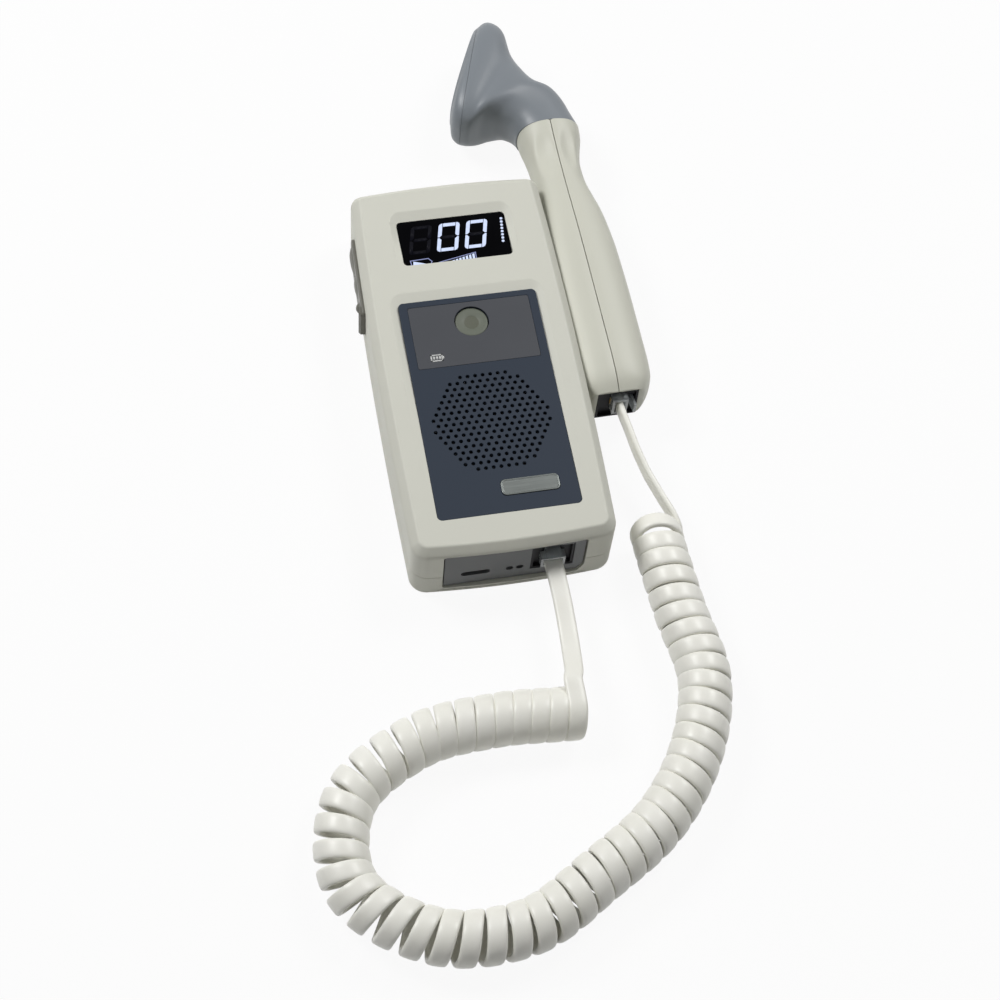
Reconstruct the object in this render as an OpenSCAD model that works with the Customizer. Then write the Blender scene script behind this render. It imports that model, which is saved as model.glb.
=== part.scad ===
// Hand-held vascular doppler: a flat case that lies on its back, a probe with a
// bent head that nests in the case's right side, and the curly cord between them.
// +X is to the right, +Y is along the case towards the display, +Z is out of the face.
// The origin is at the centre of the case's back face.

/* [Case] */
// Width of the case at its middle
case_w = 83; // [80:0.5:90]
// Length of the case
case_l = 175; // [172:1:190]
// Thickness of the case, back face to front face
case_h = 33; // [32:0.5:36]
// How far each end of the case bows out
end_bulge = 2; // [0.5:0.5:3]
// How far each long side of the case bows out
side_bulge = 1.3; // [0.5:0.1:2]
// Corner radius at the foot, seen from the front
corner_r = 7; // [5:0.5:9]
// Corner radius at the display end
top_corner_r = 4.5; // [4:0.5:7]
// Width of the bevel round the front face
bevel = 3.6; // [2.4:0.2:4.4]
// Wall thickness of both shells
wall = 2.4; // [2:0.1:2.8]
// Height at which the front and rear shells part
split_z = 13; // [12:0.5:14]

/* [Display] */
// Width of the display window
window_w = 45.6; // [40:0.2:48]
// Length of the display window
window_l = 21.6; // [18:0.2:24]
// From the top end of the case to the window's centre
window_from_top = 30.3; // [28:0.1:34]
// How far the window lies below the face
window_sink = 0.7; // [0.3:0.1:1]

/* [Speaker panel] */
// Width of the dark panel on the face
panel_w = 56; // [54:0.5:60]
// Length of the dark panel
panel_l = 100; // [96:0.5:104]
// Thickness of the dark panel
panel_t = 1.3; // [1:0.1:1.5]
// From the foot of the case to the panel's centre
panel_from_foot = 65.4; // [62:0.1:68]
// Distance between neighbouring grille holes
grille_pitch = 3.05; // [2.8:0.05:3.2]
// Diameter of a grille hole
grille_hole_d = 1.5; // [1:0.1:2]
// Rings of holes round the grille's centre
grille_rings = 8; // [4:1:8]
// From the panel's centre down to the grille's centre
grille_drop = 8.5; // [7:0.1:10]

/* [Label and badge] */
// Width of the grey label
label_w = 49.6; // [46:0.2:52]
// Length of the grey label
label_l = 29.4; // [26:0.2:31]
// Thickness of the label
label_t = 0.4; // [0.3:0.1:0.6]
// Width of the bare badge
badge_w = 23; // [18:0.5:26]
// Length of the bare badge
badge_l = 7; // [5:0.2:9]
// Thickness of the badge
badge_t = 0.8; // [0.6:0.1:1]

/* [Power button] */
// Diameter of the power button
button_d = 13.8; // [12:0.2:15]
// How far the power button travels
button_travel = 0.8; // [0.5:0.1:1]

/* [Side keys] */
// Length of the key bezel on the left side
bezel_l = 42; // [41:0.5:50]
// Height of the key bezel
bezel_h = 16; // [14:0.5:16]
// From the top end of the case to the bezel's upper end
bezel_from_top = 16; // [15:0.5:18]
// How far the bezel stands out of the side
bezel_proud = 1.5; // [1:0.1:2]
// How far the keys stand out of the side
key_proud = 2.9; // [2.5:0.1:3.4]
// Height of the two volume keys
key_h = 9; // [7:0.5:10]
// How far a side key travels
key_travel = 0.7; // [0.4:0.1:0.9]

/* [Foot] */
// Width and height of the modular jack housings
jack_w = 16.8; // [15:0.1:16.9]
// Depth of the modular jack housings
jack_depth = 15; // [14:0.5:16]
// Where the jack lies to the right of the middle
jack_x = 15; // [14:0.5:16]
// Height of the plug's centre line in the base jack
plug_z = 16; // [15:0.5:17]

/* [Battery] */
// Diameter of a battery cell
cell_d = 14.2; // [13.8:0.1:14.4]
// Length of a battery cell
cell_l = 50; // [48:0.5:51]
// Thickness of the battery door
door_t = 2.2; // [1.8:0.1:2.4]
// Length of the battery door
door_l = 77.5; // [76:0.5:80]

/* [Probe] */
// Wall thickness of the probe shells
probe_wall = 2.2; // [1.8:0.1:2.6]
// Height of the probe's centre line above the table
probe_z = 17; // [16.8:0.1:18]
// Length of the probe's handle
handle_l = 137; // [134:1:142]
// Thickness of the face cap on the head
cap_t = 4; // [3:0.5:5]
// Gap between the handle and the nest in the case
nest_gap = 0.6; // [0.4:0.1:0.8]
// Wall left round the nest
nest_wall = 2.2; // [1.8:0.1:2.4]

/* [Cord] */
// Width of the flat cord
cord_w = 6.3; // [5.8:0.1:6.3]
// Thickness of the flat cord
cord_t = 2.5; // [2.2:0.1:2.6]
// Radius of the curls at the cord's middle
curl_r = 9.1; // [8.5:0.1:9.1]

/* [Hidden] */

ivory = "#D1D1C7";
slate = "#363D47";
grey = "#54555A";
key_grey = "#6F6C63";
foot_grey = "#52544F";
head_grey = "#7C8187";
black = "#17171A";
gold = "#D4B25A";
steel = "#B8BABD";
green = "#2E6B45";
clear = "#D9E2E6";
button_grey = "#62645A";
cord_ivory = "#DDDDD3";

clearance = 0.15;
seat = 0.1;

// How far the edge round the back face is cut back
back_bevel = 1.8;

// The levels inside the case
face_z = case_h - wall;
face_pocket_z = case_h - panel_t - seat;
board_t = 1.6;
board_z = case_h - 13;
board_top = board_z + board_t;

// The outline of the case: straight ends and sides, each bowed a little
function side_x(inset, y) = case_w/2 - inset - side_bulge*pow(2*y/case_l, 2);
function end_y(inset, x) = case_l/2 - inset - end_bulge*pow(2*x/case_w, 2);
function quarter(inset, corner) =
  let (r = max(corner - inset, 1.5),
       cx = case_w/2 - inset - side_bulge - r,
       cy = end_y(inset, cx) - r)
  concat(
    [for (k = [1:3]) let (y = cy*k/4) [side_x(inset, y), y]],
    [for (a = [3:12:87]) [cx + r*cos(a), cy + r*sin(a)]],
    [for (k = [3:-1:1]) let (x = cx*k/4) [x, end_y(inset, x)]]);
function reversed(list) = [for (k = [len(list) - 1:-1:0]) list[k]];
function outline(inset) =
  let (top = quarter(inset, top_corner_r), foot = quarter(inset, corner_r))
  concat(
    [[side_x(inset, 0), 0]], top,
    [[0, end_y(inset, 0)]], reversed([for (p = top) [-p[0], p[1]]]),
    [[-side_x(inset, 0), 0]], [for (p = foot) [-p[0], -p[1]]],
    [[0, -end_y(inset, 0)]], reversed([for (p = foot) [p[0], -p[1]]]));

module slab(inset, low, high) {
  translate([0, 0, low]) linear_extrude(high - low) polygon(outline(inset));
}

// A band that follows the case's left side, between two distances out of it
module side_band(inner, outer, low, high) {
  translate([0, 0, low]) linear_extrude(high - low)
    difference() {
      polygon(outline(-outer));
      polygon(outline(-inner));
      translate([0, -case_l]) square([case_w, 2*case_l]);
    }
}

// A box given by two opposite corners
module block(low, high) {
  translate(low) cube(high - low);
}

// A flat plate with round corners, centred on x and y
module plate(w, l, r, low, high) {
  translate([0, 0, low]) linear_extrude(high - low) rounded(w, l, r);
}
module rounded(w, l, r) {
  square([w - 2*r, l], center = true);
  square([w, l - 2*r], center = true);
  for (sx = [-1, 1], sy = [-1, 1])
    translate([sx*(w/2 - r), sy*(l/2 - r)]) circle(r, $fn = 24);
}

// The superellipse that every section of the probe follows
function power(v, e) = sign(v)*pow(abs(v), e);
function oval(a, b, n, count, phase = 0) =
  [for (k = [0:count - 1]) let (t = 360*(k + phase)/count)
    [a*power(cos(t), 2/n), b*power(sin(t), 2/n)]];

// A closed skin over rings of equal count, with flat ends
module loft(rings) {
  count = len(rings[0]);
  last = len(rings) - 1;
  polyhedron(
    points = [for (ring = rings, p = ring) p],
    faces = concat(
      [[for (j = [count - 1:-1:0]) j]],
      [for (i = [0:last - 1], j = [0:count - 1], half = [0, 1])
        let (a = i*count + j, b = i*count + (j + 1)%count)
        half == 0 ? [a, b + count, a + count] : [a, b, b + count]],
      [[for (j = [0:count - 1]) last*count + j]]));
}

// Where the window, the panel and what sits on them lie
window_y = case_l/2 - window_from_top;
window_r = 2.5;
dish = 3.5;
dish_depth = 0.6;
panel_y = -case_l/2 + panel_from_foot;
panel_r = 2;
grille_y = panel_y - grille_drop;
grille_reach = grille_rings*grille_pitch;
label_y = panel_y + panel_l/2 - label_l/2 - 2.2;
badge_x = 9.7;
badge_y = panel_y - panel_l/2 + badge_l/2 + 7.2;
button_y = label_y + 5.3;
button_hole_d = button_d + 2*clearance;

// Screws that join the shells, two near the top and two near the foot
case_screw_d = 2.4;
case_screw_head_d = 4.8;
case_boss_d = 7;
case_boss_bore = case_screw_d + 0.1;
case_ledge_z = 5;
case_bore_top = split_z + 10;
top_screw = [29, case_l/2 - 9.5];
foot_screw = [case_w/2 - 6.5, case_l/2 - 10.5];
case_screw_places = [
  [top_screw[0], top_screw[1]], [-top_screw[0], top_screw[1]],
  [foot_screw[0], -foot_screw[1]], [-foot_screw[0], -foot_screw[1]]];

// The probe's own frame: its origin is the middle of the handle's lower end
probe_x = case_w/2 + 12.7;
probe_y = -21;
probe_yaw = 1;
module probe_place() {
  translate([probe_x, probe_y, probe_z]) rotate([0, 0, probe_yaw]) children();
}
function probe_point(p) = [
  probe_x + p[0]*cos(probe_yaw) - p[1]*sin(probe_yaw),
  probe_y + p[0]*sin(probe_yaw) + p[1]*cos(probe_yaw),
  probe_z + p[2]];

// Handle sections: distance up the handle, half width, half height, squareness
handle_stations = [
  [0, 10.6, 9.6, 5], [2, 12.6, 10.8, 4], [5, 14.6, 12.2, 3.2], [10, 16, 13.2, 2.7],
  [18, 16.4, 13.6, 2.6], [45, 16.4, 13.6, 2.6], [70, 16, 13.4, 2.5], [85, 14.9, 12.8, 2.4],
  [98, 13, 11.8, 2.4], [108, 11.9, 11.3, 2.4], [118, 11.6, 11.2, 2.4], [127, 12.6, 11.6, 2.4],
  [133, 13.8, 12.2, 2.4], [137, 14.2, 12.6, 2.4]];
handle_half_w = max([for (s = handle_stations) s[1]]);
handle_half_h = max([for (s = handle_stations) s[2]]);
station_l = handle_stations[len(handle_stations) - 1][0];

// Head sections: the two ends of the section on the bend's outside and inside,
// then half height and squareness; the last ones round off the face
head_stations = [
  [14.2, 0, -14.2, 0, 12.6, 2.4], [12.8, 7, -15.2, 2.5, 13, 2.4],
  [10.5, 15, -18, 5.5, 13.6, 2.5], [6, 21.3, -22, 8.2, 14.4, 2.6],
  [0.3, 26, -26.8, 8.9, 14.9, 2.8], [-4.6, 33, -31, 7.3, 14.7, 3],
  [-7.8, 42.5, -34.1, 6.1, 14.5, 3.1], [-9.6, 53, -36.7, 6, 15.2, 3.2],
  [-11.4, 59.6, -39, 7.6, 16, 3.3], [-15.2, 62.5, -40.8, 11, 15.3, 3.2],
  [-20.6, 60.4, -41, 16.2, 12.4, 2.8]];
probe_sides = 28;
function head_ring(s, inset, phase = 0) =
  let (a = [s[0], s[1]], b = [s[2], s[3]], mid = (a + b)/2, reach = norm(a - b)/2,
       dir = (a - b)/(2*reach))
  [for (p = oval(reach - inset, s[4] - inset, s[5], probe_sides, phase))
    [mid[0] + p[0]*dir[0], handle_l + mid[1] + p[0]*dir[1], p[1]]];
function handle_ring(s, inset, phase = 0) =
  [for (p = oval(s[1] - inset, s[2] - inset, s[3], probe_sides, phase))
    [p[0], s[0]*handle_l/station_l, p[1]]];
function half_ring(s, side) =
  let (ring = handle_ring(s, 0), quarter_count = probe_sides/4)
  side < 0
    ? [for (k = [quarter_count:3*quarter_count]) ring[k]]
    : [for (k = [3*quarter_count:5*quarter_count]) ring[k%probe_sides]];

// The bore in the top of the handle that takes the head's spigot
end_bore = [14.2 - probe_wall, 12.6 - probe_wall];
spigot_l = 5;

// The face of the head: its middle and the direction that it looks in
face_tilt = 64;
face_mid = [-31.2, handle_l + 38.4, 0];
module face_frame() {
  translate(face_mid) rotate([0, 0, face_tilt]) children();
}

// The nest in the case's side, as a long block of the handle's greatest section
module nest(extra) {
  probe_place()
    translate([0, case_l, 0]) rotate([90, 0, 0]) linear_extrude(case_l + 4 + extra)
      polygon(oval(handle_half_w + nest_gap + extra, handle_half_h + nest_gap + extra, 2.6, 40));
}

// The side keys: lower end, upper end and height of each
bezel_top = case_l/2 - bezel_from_top;
bezel_bottom = bezel_top - bezel_l;
bezel_z = (case_h - bevel + split_z)/2 - 2.2;
up_key = [bezel_top - 15.5, bezel_top - 1, key_h];
down_key = [bezel_top - 28, bezel_top - 18.5, key_h];
print_key_span = [bezel_top - 36.4, bezel_top - 31.2, 5.2];
key_spans = [up_key, down_key, print_key_span];
bezel_round = 6;
wedge_l = 5.2;
key_flange = 0.8;
stem_z = board_top + 1.4;

// The battery bay
cell_pitch = cell_d + 0.1;
cell_count = 4;
cell_z = door_t + 0.1 + cell_d/2;
cell_y = -case_l/2 + 46;
bay_half_w = cell_count*cell_pitch/2 + 0.6;
bay_rib = 1.5;
door_half_w = bay_half_w - 0.3;
door_y = -case_l/2 + door_l;
tongue = 0.9;
tongue_low = 0.85;
tongue_high = 1.45;

// The foot: connector panel, jack, charge socket and pins
foot_panel_w = 2*(door_half_w - tongue);
foot_face = -(case_l/2 - 1.5);
foot_panel_low = door_t + 2.2;
foot_panel_high = case_h - bevel - 0.8;
foot_flange_w = foot_panel_w + 4;
foot_flange_t = 1;
foot_flange_y = -(end_y(wall, foot_panel_w/2 + 1)) + 0.1;
jack_face = foot_face + 0.4;
jack_z = plug_z + 1.8;
slot_x = -foot_panel_w/2 + 12.7;
slot_w = 11.6;
slot_h = 3;
slot_z = 12.4;
pin_xs = [-1.8, 2.3];
pin_d = 2.6;

// The modular plug, with its rear face at y = -plug_out and its latch above
plug_w = 9.65;
plug_h = 6.5;
plug_out = 2;
plug_in = 11.5;
latch_w = 6;
latch_t = 1;
latch_rise = 2.6;
wire_gap = 0.3;
blade_pitch = 1.02;
blade_w = 0.35;
blade_count = 4;
plug_offset = 0.8;

// The speaker under the grille
speaker_r = 26;
speaker_opening_r = grille_reach;
cone_r = 21.5;
magnet_r = 13;
magnet_top = face_z - 8;
magnet_bottom = face_z - 13;

// The cradle under the handle
cradle_low_y = 12;
cradle_high_y = 58;
cradle_root_x = case_w/2 - 13.5;
cradle_end_x = probe_x + 8;
cradle_pocket = 1.4;
cradle_top = probe_z - handle_half_h - 0.3;
cradle_screw_d = 2.2;
cradle_screw_x = cradle_root_x + 4.2;
cradle_screw_ys = [20, 50];
cradle_boss_h = 8;

// The main board between the speaker and the display end, and the posts it hangs from
board_left = -(case_w/2 - 7.5);
board_right = case_w/2 - 10.5;
board_foot = grille_y + speaker_r + 2.6;
board_head = case_l/2 - 14.5;
board_posts = [for (y = [board_foot + 5, board_head - 4], x = [board_left + 5.5, board_right - 3]) [x, y]];
stem_tip_x = board_left - 2.4;
post_d = 5;
board_screw_d = 2;
lens_flange = 2.2;
lens_flange_t = 0.9;

// The probe's board and the rails in the handle that hold its edges
probe_board_w = 22.4;
probe_board_l = 60;
probe_board_t = 1.4;
probe_board_low = 26;
rail_t = 1.75;
rail_in = probe_board_w/2 - 1.8;

// Flat section of the cord, out to its rounded edges
function cord_section(sides) =
  sides == 6
    ? [[cord_w/2, 0], [cord_w/2 - 0.9, cord_t/2], [-cord_w/2 + 0.9, cord_t/2],
       [-cord_w/2, 0], [-cord_w/2 + 0.9, -cord_t/2], [cord_w/2 - 0.9, -cord_t/2]]
    : [[cord_w/2, cord_t/5], [cord_w/2 - 0.8, cord_t/2], [-cord_w/2 + 0.8, cord_t/2],
       [-cord_w/2, cord_t/5], [-cord_w/2, -cord_t/5], [-cord_w/2 + 0.8, -cord_t/2],
       [cord_w/2 - 0.8, -cord_t/2], [cord_w/2, -cord_t/5]];

function unit(v) = v/norm(v);

// One ring of cord: place, direction of travel and outward side of its flat face
function cord_ring(p, along, out, sides) =
  let (t = unit(along), n = unit(out - t*(out*t)), w = cross(t, n))
  [for (c = cord_section(sides)) p + w*c[0] + n*c[1]];

// A smooth curve through points, one span for each pair of neighbours
function ends_added(pts) =
  concat([2*pts[0] - pts[1]], pts, [2*pts[len(pts) - 1] - pts[len(pts) - 2]]);
function curve_at(pts, v) =
  let (i = min(max(floor(v), 0), len(pts) - 4), t = v - i,
       a = pts[i], b = pts[i + 1], c = pts[i + 2], d = pts[i + 3])
  b + t*(c - a)/2 + t*t*(a - 2.5*b + 2*c - d/2) + t*t*t*(1.5*(b - c) + (d - a)/2);

// The middle line of the coil on the table: one point every four curls,
// from the base end round to the probe end
coil_route = [
  [9, -149], [-19, -147.5], [-49, -151.5], [-77, -170.5], [-81, -203.5], [-54, -226],
  [-20, -228], [9, -213], [35, -196], [54, -172], [64, -143], [61, -113], [59, -83]];
coil_beyond = [59, -68];
coil_points = concat([2*coil_route[0] - coil_route[1]], coil_route, [coil_beyond]);
coil_z = curl_r + cord_t/2 + 0.2;
curls_per_point = 4;
first_curl = -0.5;
curl_turns = 49.62;
curl_rings = 8;
lean_angle = 24;
lean_start = 48;

function coil_mid(u) =
  let (m = curve_at(coil_points, (u + first_curl)/curls_per_point)) [m[0], m[1], coil_z];
function coil_heading(u) = unit(coil_mid(u + 0.25) - coil_mid(u - 0.25));
function lean(u) =
  let (k = min(max((u - lean_start)/1.1, 0), 1)) lean_angle*k*k*(3 - 2*k);
function curl_up(u) = cos(lean(u))*[0, 0, 1] + sin(lean(u))*coil_heading(u);
function curl_side(u) = cross([0, 0, 1], coil_heading(u));
function curl_out(u) = cos(360*u)*curl_up(u) + sin(360*u)*curl_side(u);
function curl_point(u) = coil_mid(u) + curl_r*curl_out(u);
function curl_along(u) = unit(curl_point(u + 0.01) - curl_point(u - 0.01));

// The base end of the coil runs straight back over its top; the probe end
// unwinds to the right and runs on towards the handle
coil_lead = [curl_point(0) + [0, cord_w + 0.4, 0], curl_point(0) + [0, cord_w/2, 0]];
unwind_route = [[68, -78, 9], [67, -72, 11], [64.4, -65, 12], [62.2, -58.5, 12.8]];
unwind_points = ends_added(concat([curl_point(curl_turns)], unwind_route));
unwind_steps = 2;
curl_count = floor(curl_turns*curl_rings);
coil_rings = concat(
  [for (p = coil_lead) cord_ring(p, [0, -1, 0], [0, 0, 1], 6)],
  [for (k = [0:curl_count]) let (u = k*curl_turns/curl_count)
    cord_ring(curl_point(u), curl_along(u), curl_out(u), 6)],
  [for (k = [1:unwind_steps*len(unwind_route)])
    let (v = k/unwind_steps, p = curve_at(unwind_points, v),
         t = unit(curve_at(unwind_points, min(v + 0.05, len(unwind_route)))
                  - curve_at(unwind_points, v - 0.05)))
    cord_ring(p, t, [cos(20), sin(20), 0], 6)]);

// The least gap between a curl and the next, measured on the rings' points
function ring_gap(a, b) = min([for (p = a, q = b) norm(p - q)]);
coil_gap = min([for (i = [2:len(coil_rings) - 15], j = [6:10])
  ring_gap(coil_rings[i], coil_rings[i + j])]);
echo(least_gap_between_curls = coil_gap);

// The two free stretches: from the base plug to the coil, and from the coil to the probe
base_tail_route = [
  [15, -81, 16], [15, -88, 16], [15.3, -94, 15.8], [15.6, -104, 15], [15.4, -115, 14.6],
  [14.8, -125, 15.6], [13.8, -135, 18]];
base_tail_end = coil_lead[0];
probe_tail_route = [[60.4, -53, 13.4], [58, -43, 15], [56.6, -34, 16.2]];
probe_tail_end = [probe_point([1, -5, 0]), probe_point([plug_offset, -plug_out, 0])];
base_tail_points = ends_added(concat(base_tail_route, [base_tail_end + [0, 3, 0], base_tail_end]));
coil_end = curve_at(unwind_points, len(unwind_route));
coil_end_along = unit(coil_end - curve_at(unwind_points, len(unwind_route) - 0.05));
probe_tail_points = ends_added(concat(
  [coil_end, coil_end + 2*coil_end_along], probe_tail_route, probe_tail_end));
tail_steps = 2;
function tail_rings(points, spans, first, last, out_first, out_last) =
  [for (k = [0:tail_steps*spans])
    let (v = k/tail_steps, p = curve_at(points, v),
         t = k == 0 ? first : k == tail_steps*spans ? last
           : unit(curve_at(points, v + 0.05) - curve_at(points, v - 0.05)),
         out = out_first*(1 - v/spans) + out_last*v/spans)
    cord_ring(p, t, out, 8)];

// The shells

module front_case() {
  color(ivory) difference() {
    union() {
      slab(0, split_z, case_h - bevel);
      hull() {
        slab(0, case_h - bevel - 0.01, case_h - bevel);
        slab(bevel*0.45, case_h - bevel*0.45, case_h - bevel*0.45 + 0.01);
        slab(bevel, case_h - 0.01, case_h);
      }
    }
    difference() {
      slab(wall, split_z - 1, case_h - bevel);
      nest(nest_wall);
      for (p = case_screw_places)
        translate([p[0], p[1], 0]) cylinder(d = case_boss_d, h = case_h, $fn = 32);
      for (p = board_posts)
        translate([p[0], p[1], board_top]) cylinder(d = post_d, h = case_h, $fn = 32);
    }
    difference() {
      slab(wall + bevel*0.6, case_h - bevel - 0.01, face_z);
      nest(nest_wall);
      for (p = case_screw_places)
        translate([p[0], p[1], 0]) cylinder(d = case_boss_d, h = case_h, $fn = 32);
      for (p = board_posts)
        translate([p[0], p[1], board_top]) cylinder(d = post_d, h = case_h, $fn = 32);
    }
    nest(0);
    translate([0, window_y, 0]) {
      plate(window_w, window_l, window_r, 0, case_h + 1);
      hull() {
        plate(window_w, window_l, window_r, case_h - dish_depth - 0.01, case_h - dish_depth);
        plate(window_w + 2*dish, window_l + 2*dish, window_r + dish, case_h, case_h + 0.01);
      }
    }
    translate([0, panel_y, 0]) {
      plate(panel_w + 2*clearance, panel_l + 2*clearance, panel_r, face_pocket_z, case_h + 1);
      hull() {
        plate(panel_w, panel_l, panel_r, case_h - dish_depth/2 - 0.01, case_h - dish_depth/2);
        plate(panel_w + 2*dish, panel_l + 2*dish, panel_r + dish, case_h, case_h + 0.01);
      }
    }
    translate([0, grille_y, 0]) cylinder(r = speaker_opening_r, h = case_h, $fn = 64);
    translate([0, button_y, 0]) cylinder(d = button_hole_d, h = case_h, $fn = 48);
    for (p = case_screw_places)
      translate([p[0], p[1], 0]) cylinder(d = case_boss_bore, h = case_bore_top, $fn = 24);
    for (p = board_posts)
      translate([p[0], p[1], 0]) cylinder(d = board_screw_d + 0.1, h = board_top + 6, $fn = 24);
    bezel_opening(clearance);
    foot_opening();
  }
}

module rear_block() {
  hull() {
    slab(back_bevel, 0, 0.01);
    slab(0, back_bevel, back_bevel + 0.01);
  }
  slab(0, back_bevel, split_z);
}

module rear_case() {
  color(ivory) difference() {
    union() {
      difference() {
        rear_block();
        difference() {
          slab(wall, wall, split_z + 1);
          nest(nest_wall);
          for (p = case_screw_places)
            translate([p[0], p[1], 0]) cylinder(d = case_boss_d, h = split_z, $fn = 32);
          for (y = cradle_screw_ys)
            translate([cradle_screw_x, y, 0]) cylinder(d = 6, h = cradle_boss_h, $fn = 32);
        }
      }
      battery_bay();
    }
    nest(0);
    for (p = case_screw_places) translate([p[0], p[1], 0]) {
      translate([0, 0, -1]) cylinder(d = case_screw_head_d + 0.6, h = case_ledge_z + 1, $fn = 32);
      cylinder(d = case_screw_d + 0.4, h = split_z + 1, $fn = 24);
    }
    block([cradle_root_x - clearance, cradle_low_y - clearance, -1],
          [case_w, cradle_high_y + clearance, cradle_pocket]);
    for (y = cradle_screw_ys)
      translate([cradle_screw_x, y, 0]) cylinder(d = cradle_screw_d + 0.1, h = cradle_boss_h - 1, $fn = 24);
    door_cut();
    foot_opening();
  }
}

// Ribs that fence the cells in, standing on the floor beside the door
module battery_bay() {
  low = cell_y - cell_l/2 - 1.1;
  high = cell_y + cell_l/2 + 1.1;
  for (s = [-1, 1])
    block([s > 0 ? bay_half_w : -bay_half_w - bay_rib, low - bay_rib, wall - 0.5],
          [s > 0 ? bay_half_w + bay_rib : -bay_half_w, high + bay_rib, split_z]);
  block([-bay_half_w - 0.1, low - bay_rib, door_t + 0.4], [bay_half_w + 0.1, low, split_z]);
  block([-bay_half_w - 0.1, high, door_t + 0.4], [bay_half_w + 0.1, high + bay_rib, split_z]);
}

// The hole in the floor that the door slides out of, with its two grooves
module door_cut() {
  block([-door_half_w - clearance, -case_l, -1], [door_half_w + clearance, door_y + clearance, door_t + 0.4]);
  block([-door_half_w - tongue - clearance, -case_l, tongue_low - 0.1],
        [door_half_w + tongue + clearance, door_y + clearance, tongue_high + 0.1]);
}

module battery_door() {
  color(ivory) union() {
    intersection() {
      rear_block();
      block([-door_half_w, -case_l, -1], [door_half_w, door_y, door_t]);
    }
    intersection() {
      rear_block();
      block([-door_half_w - tongue, -case_l/2 + 8, tongue_low], [door_half_w + tongue, door_y, tongue_high]);
    }
  }
}

// The connector panel and its opening in both shells

module foot_opening() {
  block([-foot_panel_w/2 - clearance, -case_l, foot_panel_low - clearance],
        [foot_panel_w/2 + clearance, foot_face + 6, foot_panel_high + clearance]);
}

module end_panel() {
  color(foot_grey) difference() {
    union() {
      block([-foot_panel_w/2, foot_face, foot_panel_low], [foot_panel_w/2, foot_flange_y + 0.1, foot_panel_high]);
      block([-foot_flange_w/2, foot_flange_y, foot_panel_low + 0.2],
            [foot_flange_w/2, foot_flange_y + foot_flange_t, foot_panel_high - 0.4]);
    }
    block([jack_x - jack_w/2 - clearance, foot_face - 1, jack_z - jack_w/2 - clearance],
          [jack_x + jack_w/2 + clearance, foot_face + 9, jack_z + jack_w/2 + clearance]);
    translate([slot_x, foot_face + 9, slot_z]) rotate([90, 0, 0])
      linear_extrude(12) rounded(slot_w, slot_h, slot_h/2 - 0.05);
    for (x = pin_xs)
      translate([x, foot_face + 9, slot_z]) rotate([90, 0, 0]) cylinder(d = pin_d + 0.4, h = 12, $fn = 24);
  }
}

module charge_socket() {
  back = foot_flange_y + foot_flange_t;
  color(black) difference() {
    block([slot_x - 7, back, slot_z - 3], [slot_x + 7, back + 7, slot_z + 3]);
    block([slot_x - slot_w/2 + 0.4, back - 1, slot_z - slot_h/2 + 0.3],
          [slot_x + slot_w/2 - 0.4, back + 5, slot_z + slot_h/2 - 0.3]);
  }
}

module charge_pins() {
  back = foot_flange_y + foot_flange_t;
  color(gold) for (x = pin_xs) {
    translate([x, back, slot_z]) rotate([90, 0, 0])
      cylinder(d = pin_d, h = back - foot_face - 0.3, $fn = 24);
    translate([x, back + 1, slot_z]) rotate([90, 0, 0]) cylinder(d = pin_d + 1, h = 1, $fn = 24);
  }
}

// The jack housing, drawn with its mouth at y = 0, the plug's middle at the
// origin and the slot for the latch above
module jack_body(shift, flange) {
  difference() {
    union() {
      block([-jack_w/2, 0, shift - jack_w/2], [jack_w/2, jack_depth, shift + jack_w/2]);
      if (flange > 0)
        block([-jack_w/2 - 1.2, flange, shift - jack_w/2 - 1.2], [jack_w/2 + 1.2, flange + 1.2, shift + jack_w/2 + 1.2]);
    }
    block([-plug_w/2 - clearance, -1, -plug_h/2 - wire_gap - 0.05],
          [plug_w/2 + clearance, plug_in + 0.4, plug_h/2 + clearance]);
    block([-latch_w/2 - 0.2, -1, 0], [latch_w/2 + 0.2, plug_in + 0.4, plug_h/2 + latch_rise + latch_t]);
  }
}

module jack_wires() {
  for (k = [0:blade_count - 1])
    let (x = (k - (blade_count - 1)/2)*blade_pitch)
    block([x - 0.2, 1, -plug_h/2 - wire_gap - 0.05], [x + 0.2, plug_in + 0.4, -plug_h/2 - 0.1]);
}

module base_jack() {
  color(black) translate([jack_x, jack_face, plug_z])
    jack_body(jack_z - plug_z, foot_flange_y + foot_flange_t - jack_face);
}

module base_jack_wires() {
  color(gold) translate([jack_x, jack_face, plug_z]) jack_wires();
}

// The clear plug: body, cord channel, blade slots and a springy latch
module plug_body(channel_end) {
  difference() {
    block([-plug_w/2, -plug_out, -plug_h/2], [plug_w/2, plug_in, plug_h/2]);
    block([-cord_w/2 - 0.2, -plug_out - 1, -cord_t/2 - 0.2], [cord_w/2 + 0.2, channel_end, cord_t/2 + 0.2]);
    blade_shapes(0);
  }
  rotate([90, 0, 90]) translate([0, 0, -latch_w/2]) linear_extrude(latch_w)
    polygon([
      [plug_in, plug_h/2 - 0.5], [plug_in, plug_h/2 + latch_t*0.8], [plug_in - 1.5, plug_h/2 + latch_t*1.4],
      [-plug_out - 1.6, plug_h/2 + latch_rise + latch_t*0.6], [-plug_out - 1.6, plug_h/2 + latch_rise - latch_t*0.4],
      [plug_in - 3, plug_h/2 + 0.4], [plug_in - 3.4, plug_h/2 - 0.5]]);
}

module blade_shapes(shrink) {
  for (k = [0:blade_count - 1])
    let (x = (k - (blade_count - 1)/2)*blade_pitch)
    block([x - blade_w/2, plug_in - 4.5, -plug_h/2 - (shrink > 0 ? 0 : 1)],
          [x + blade_w/2, plug_in - 1, -plug_h/2 + 3]);
}

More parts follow.
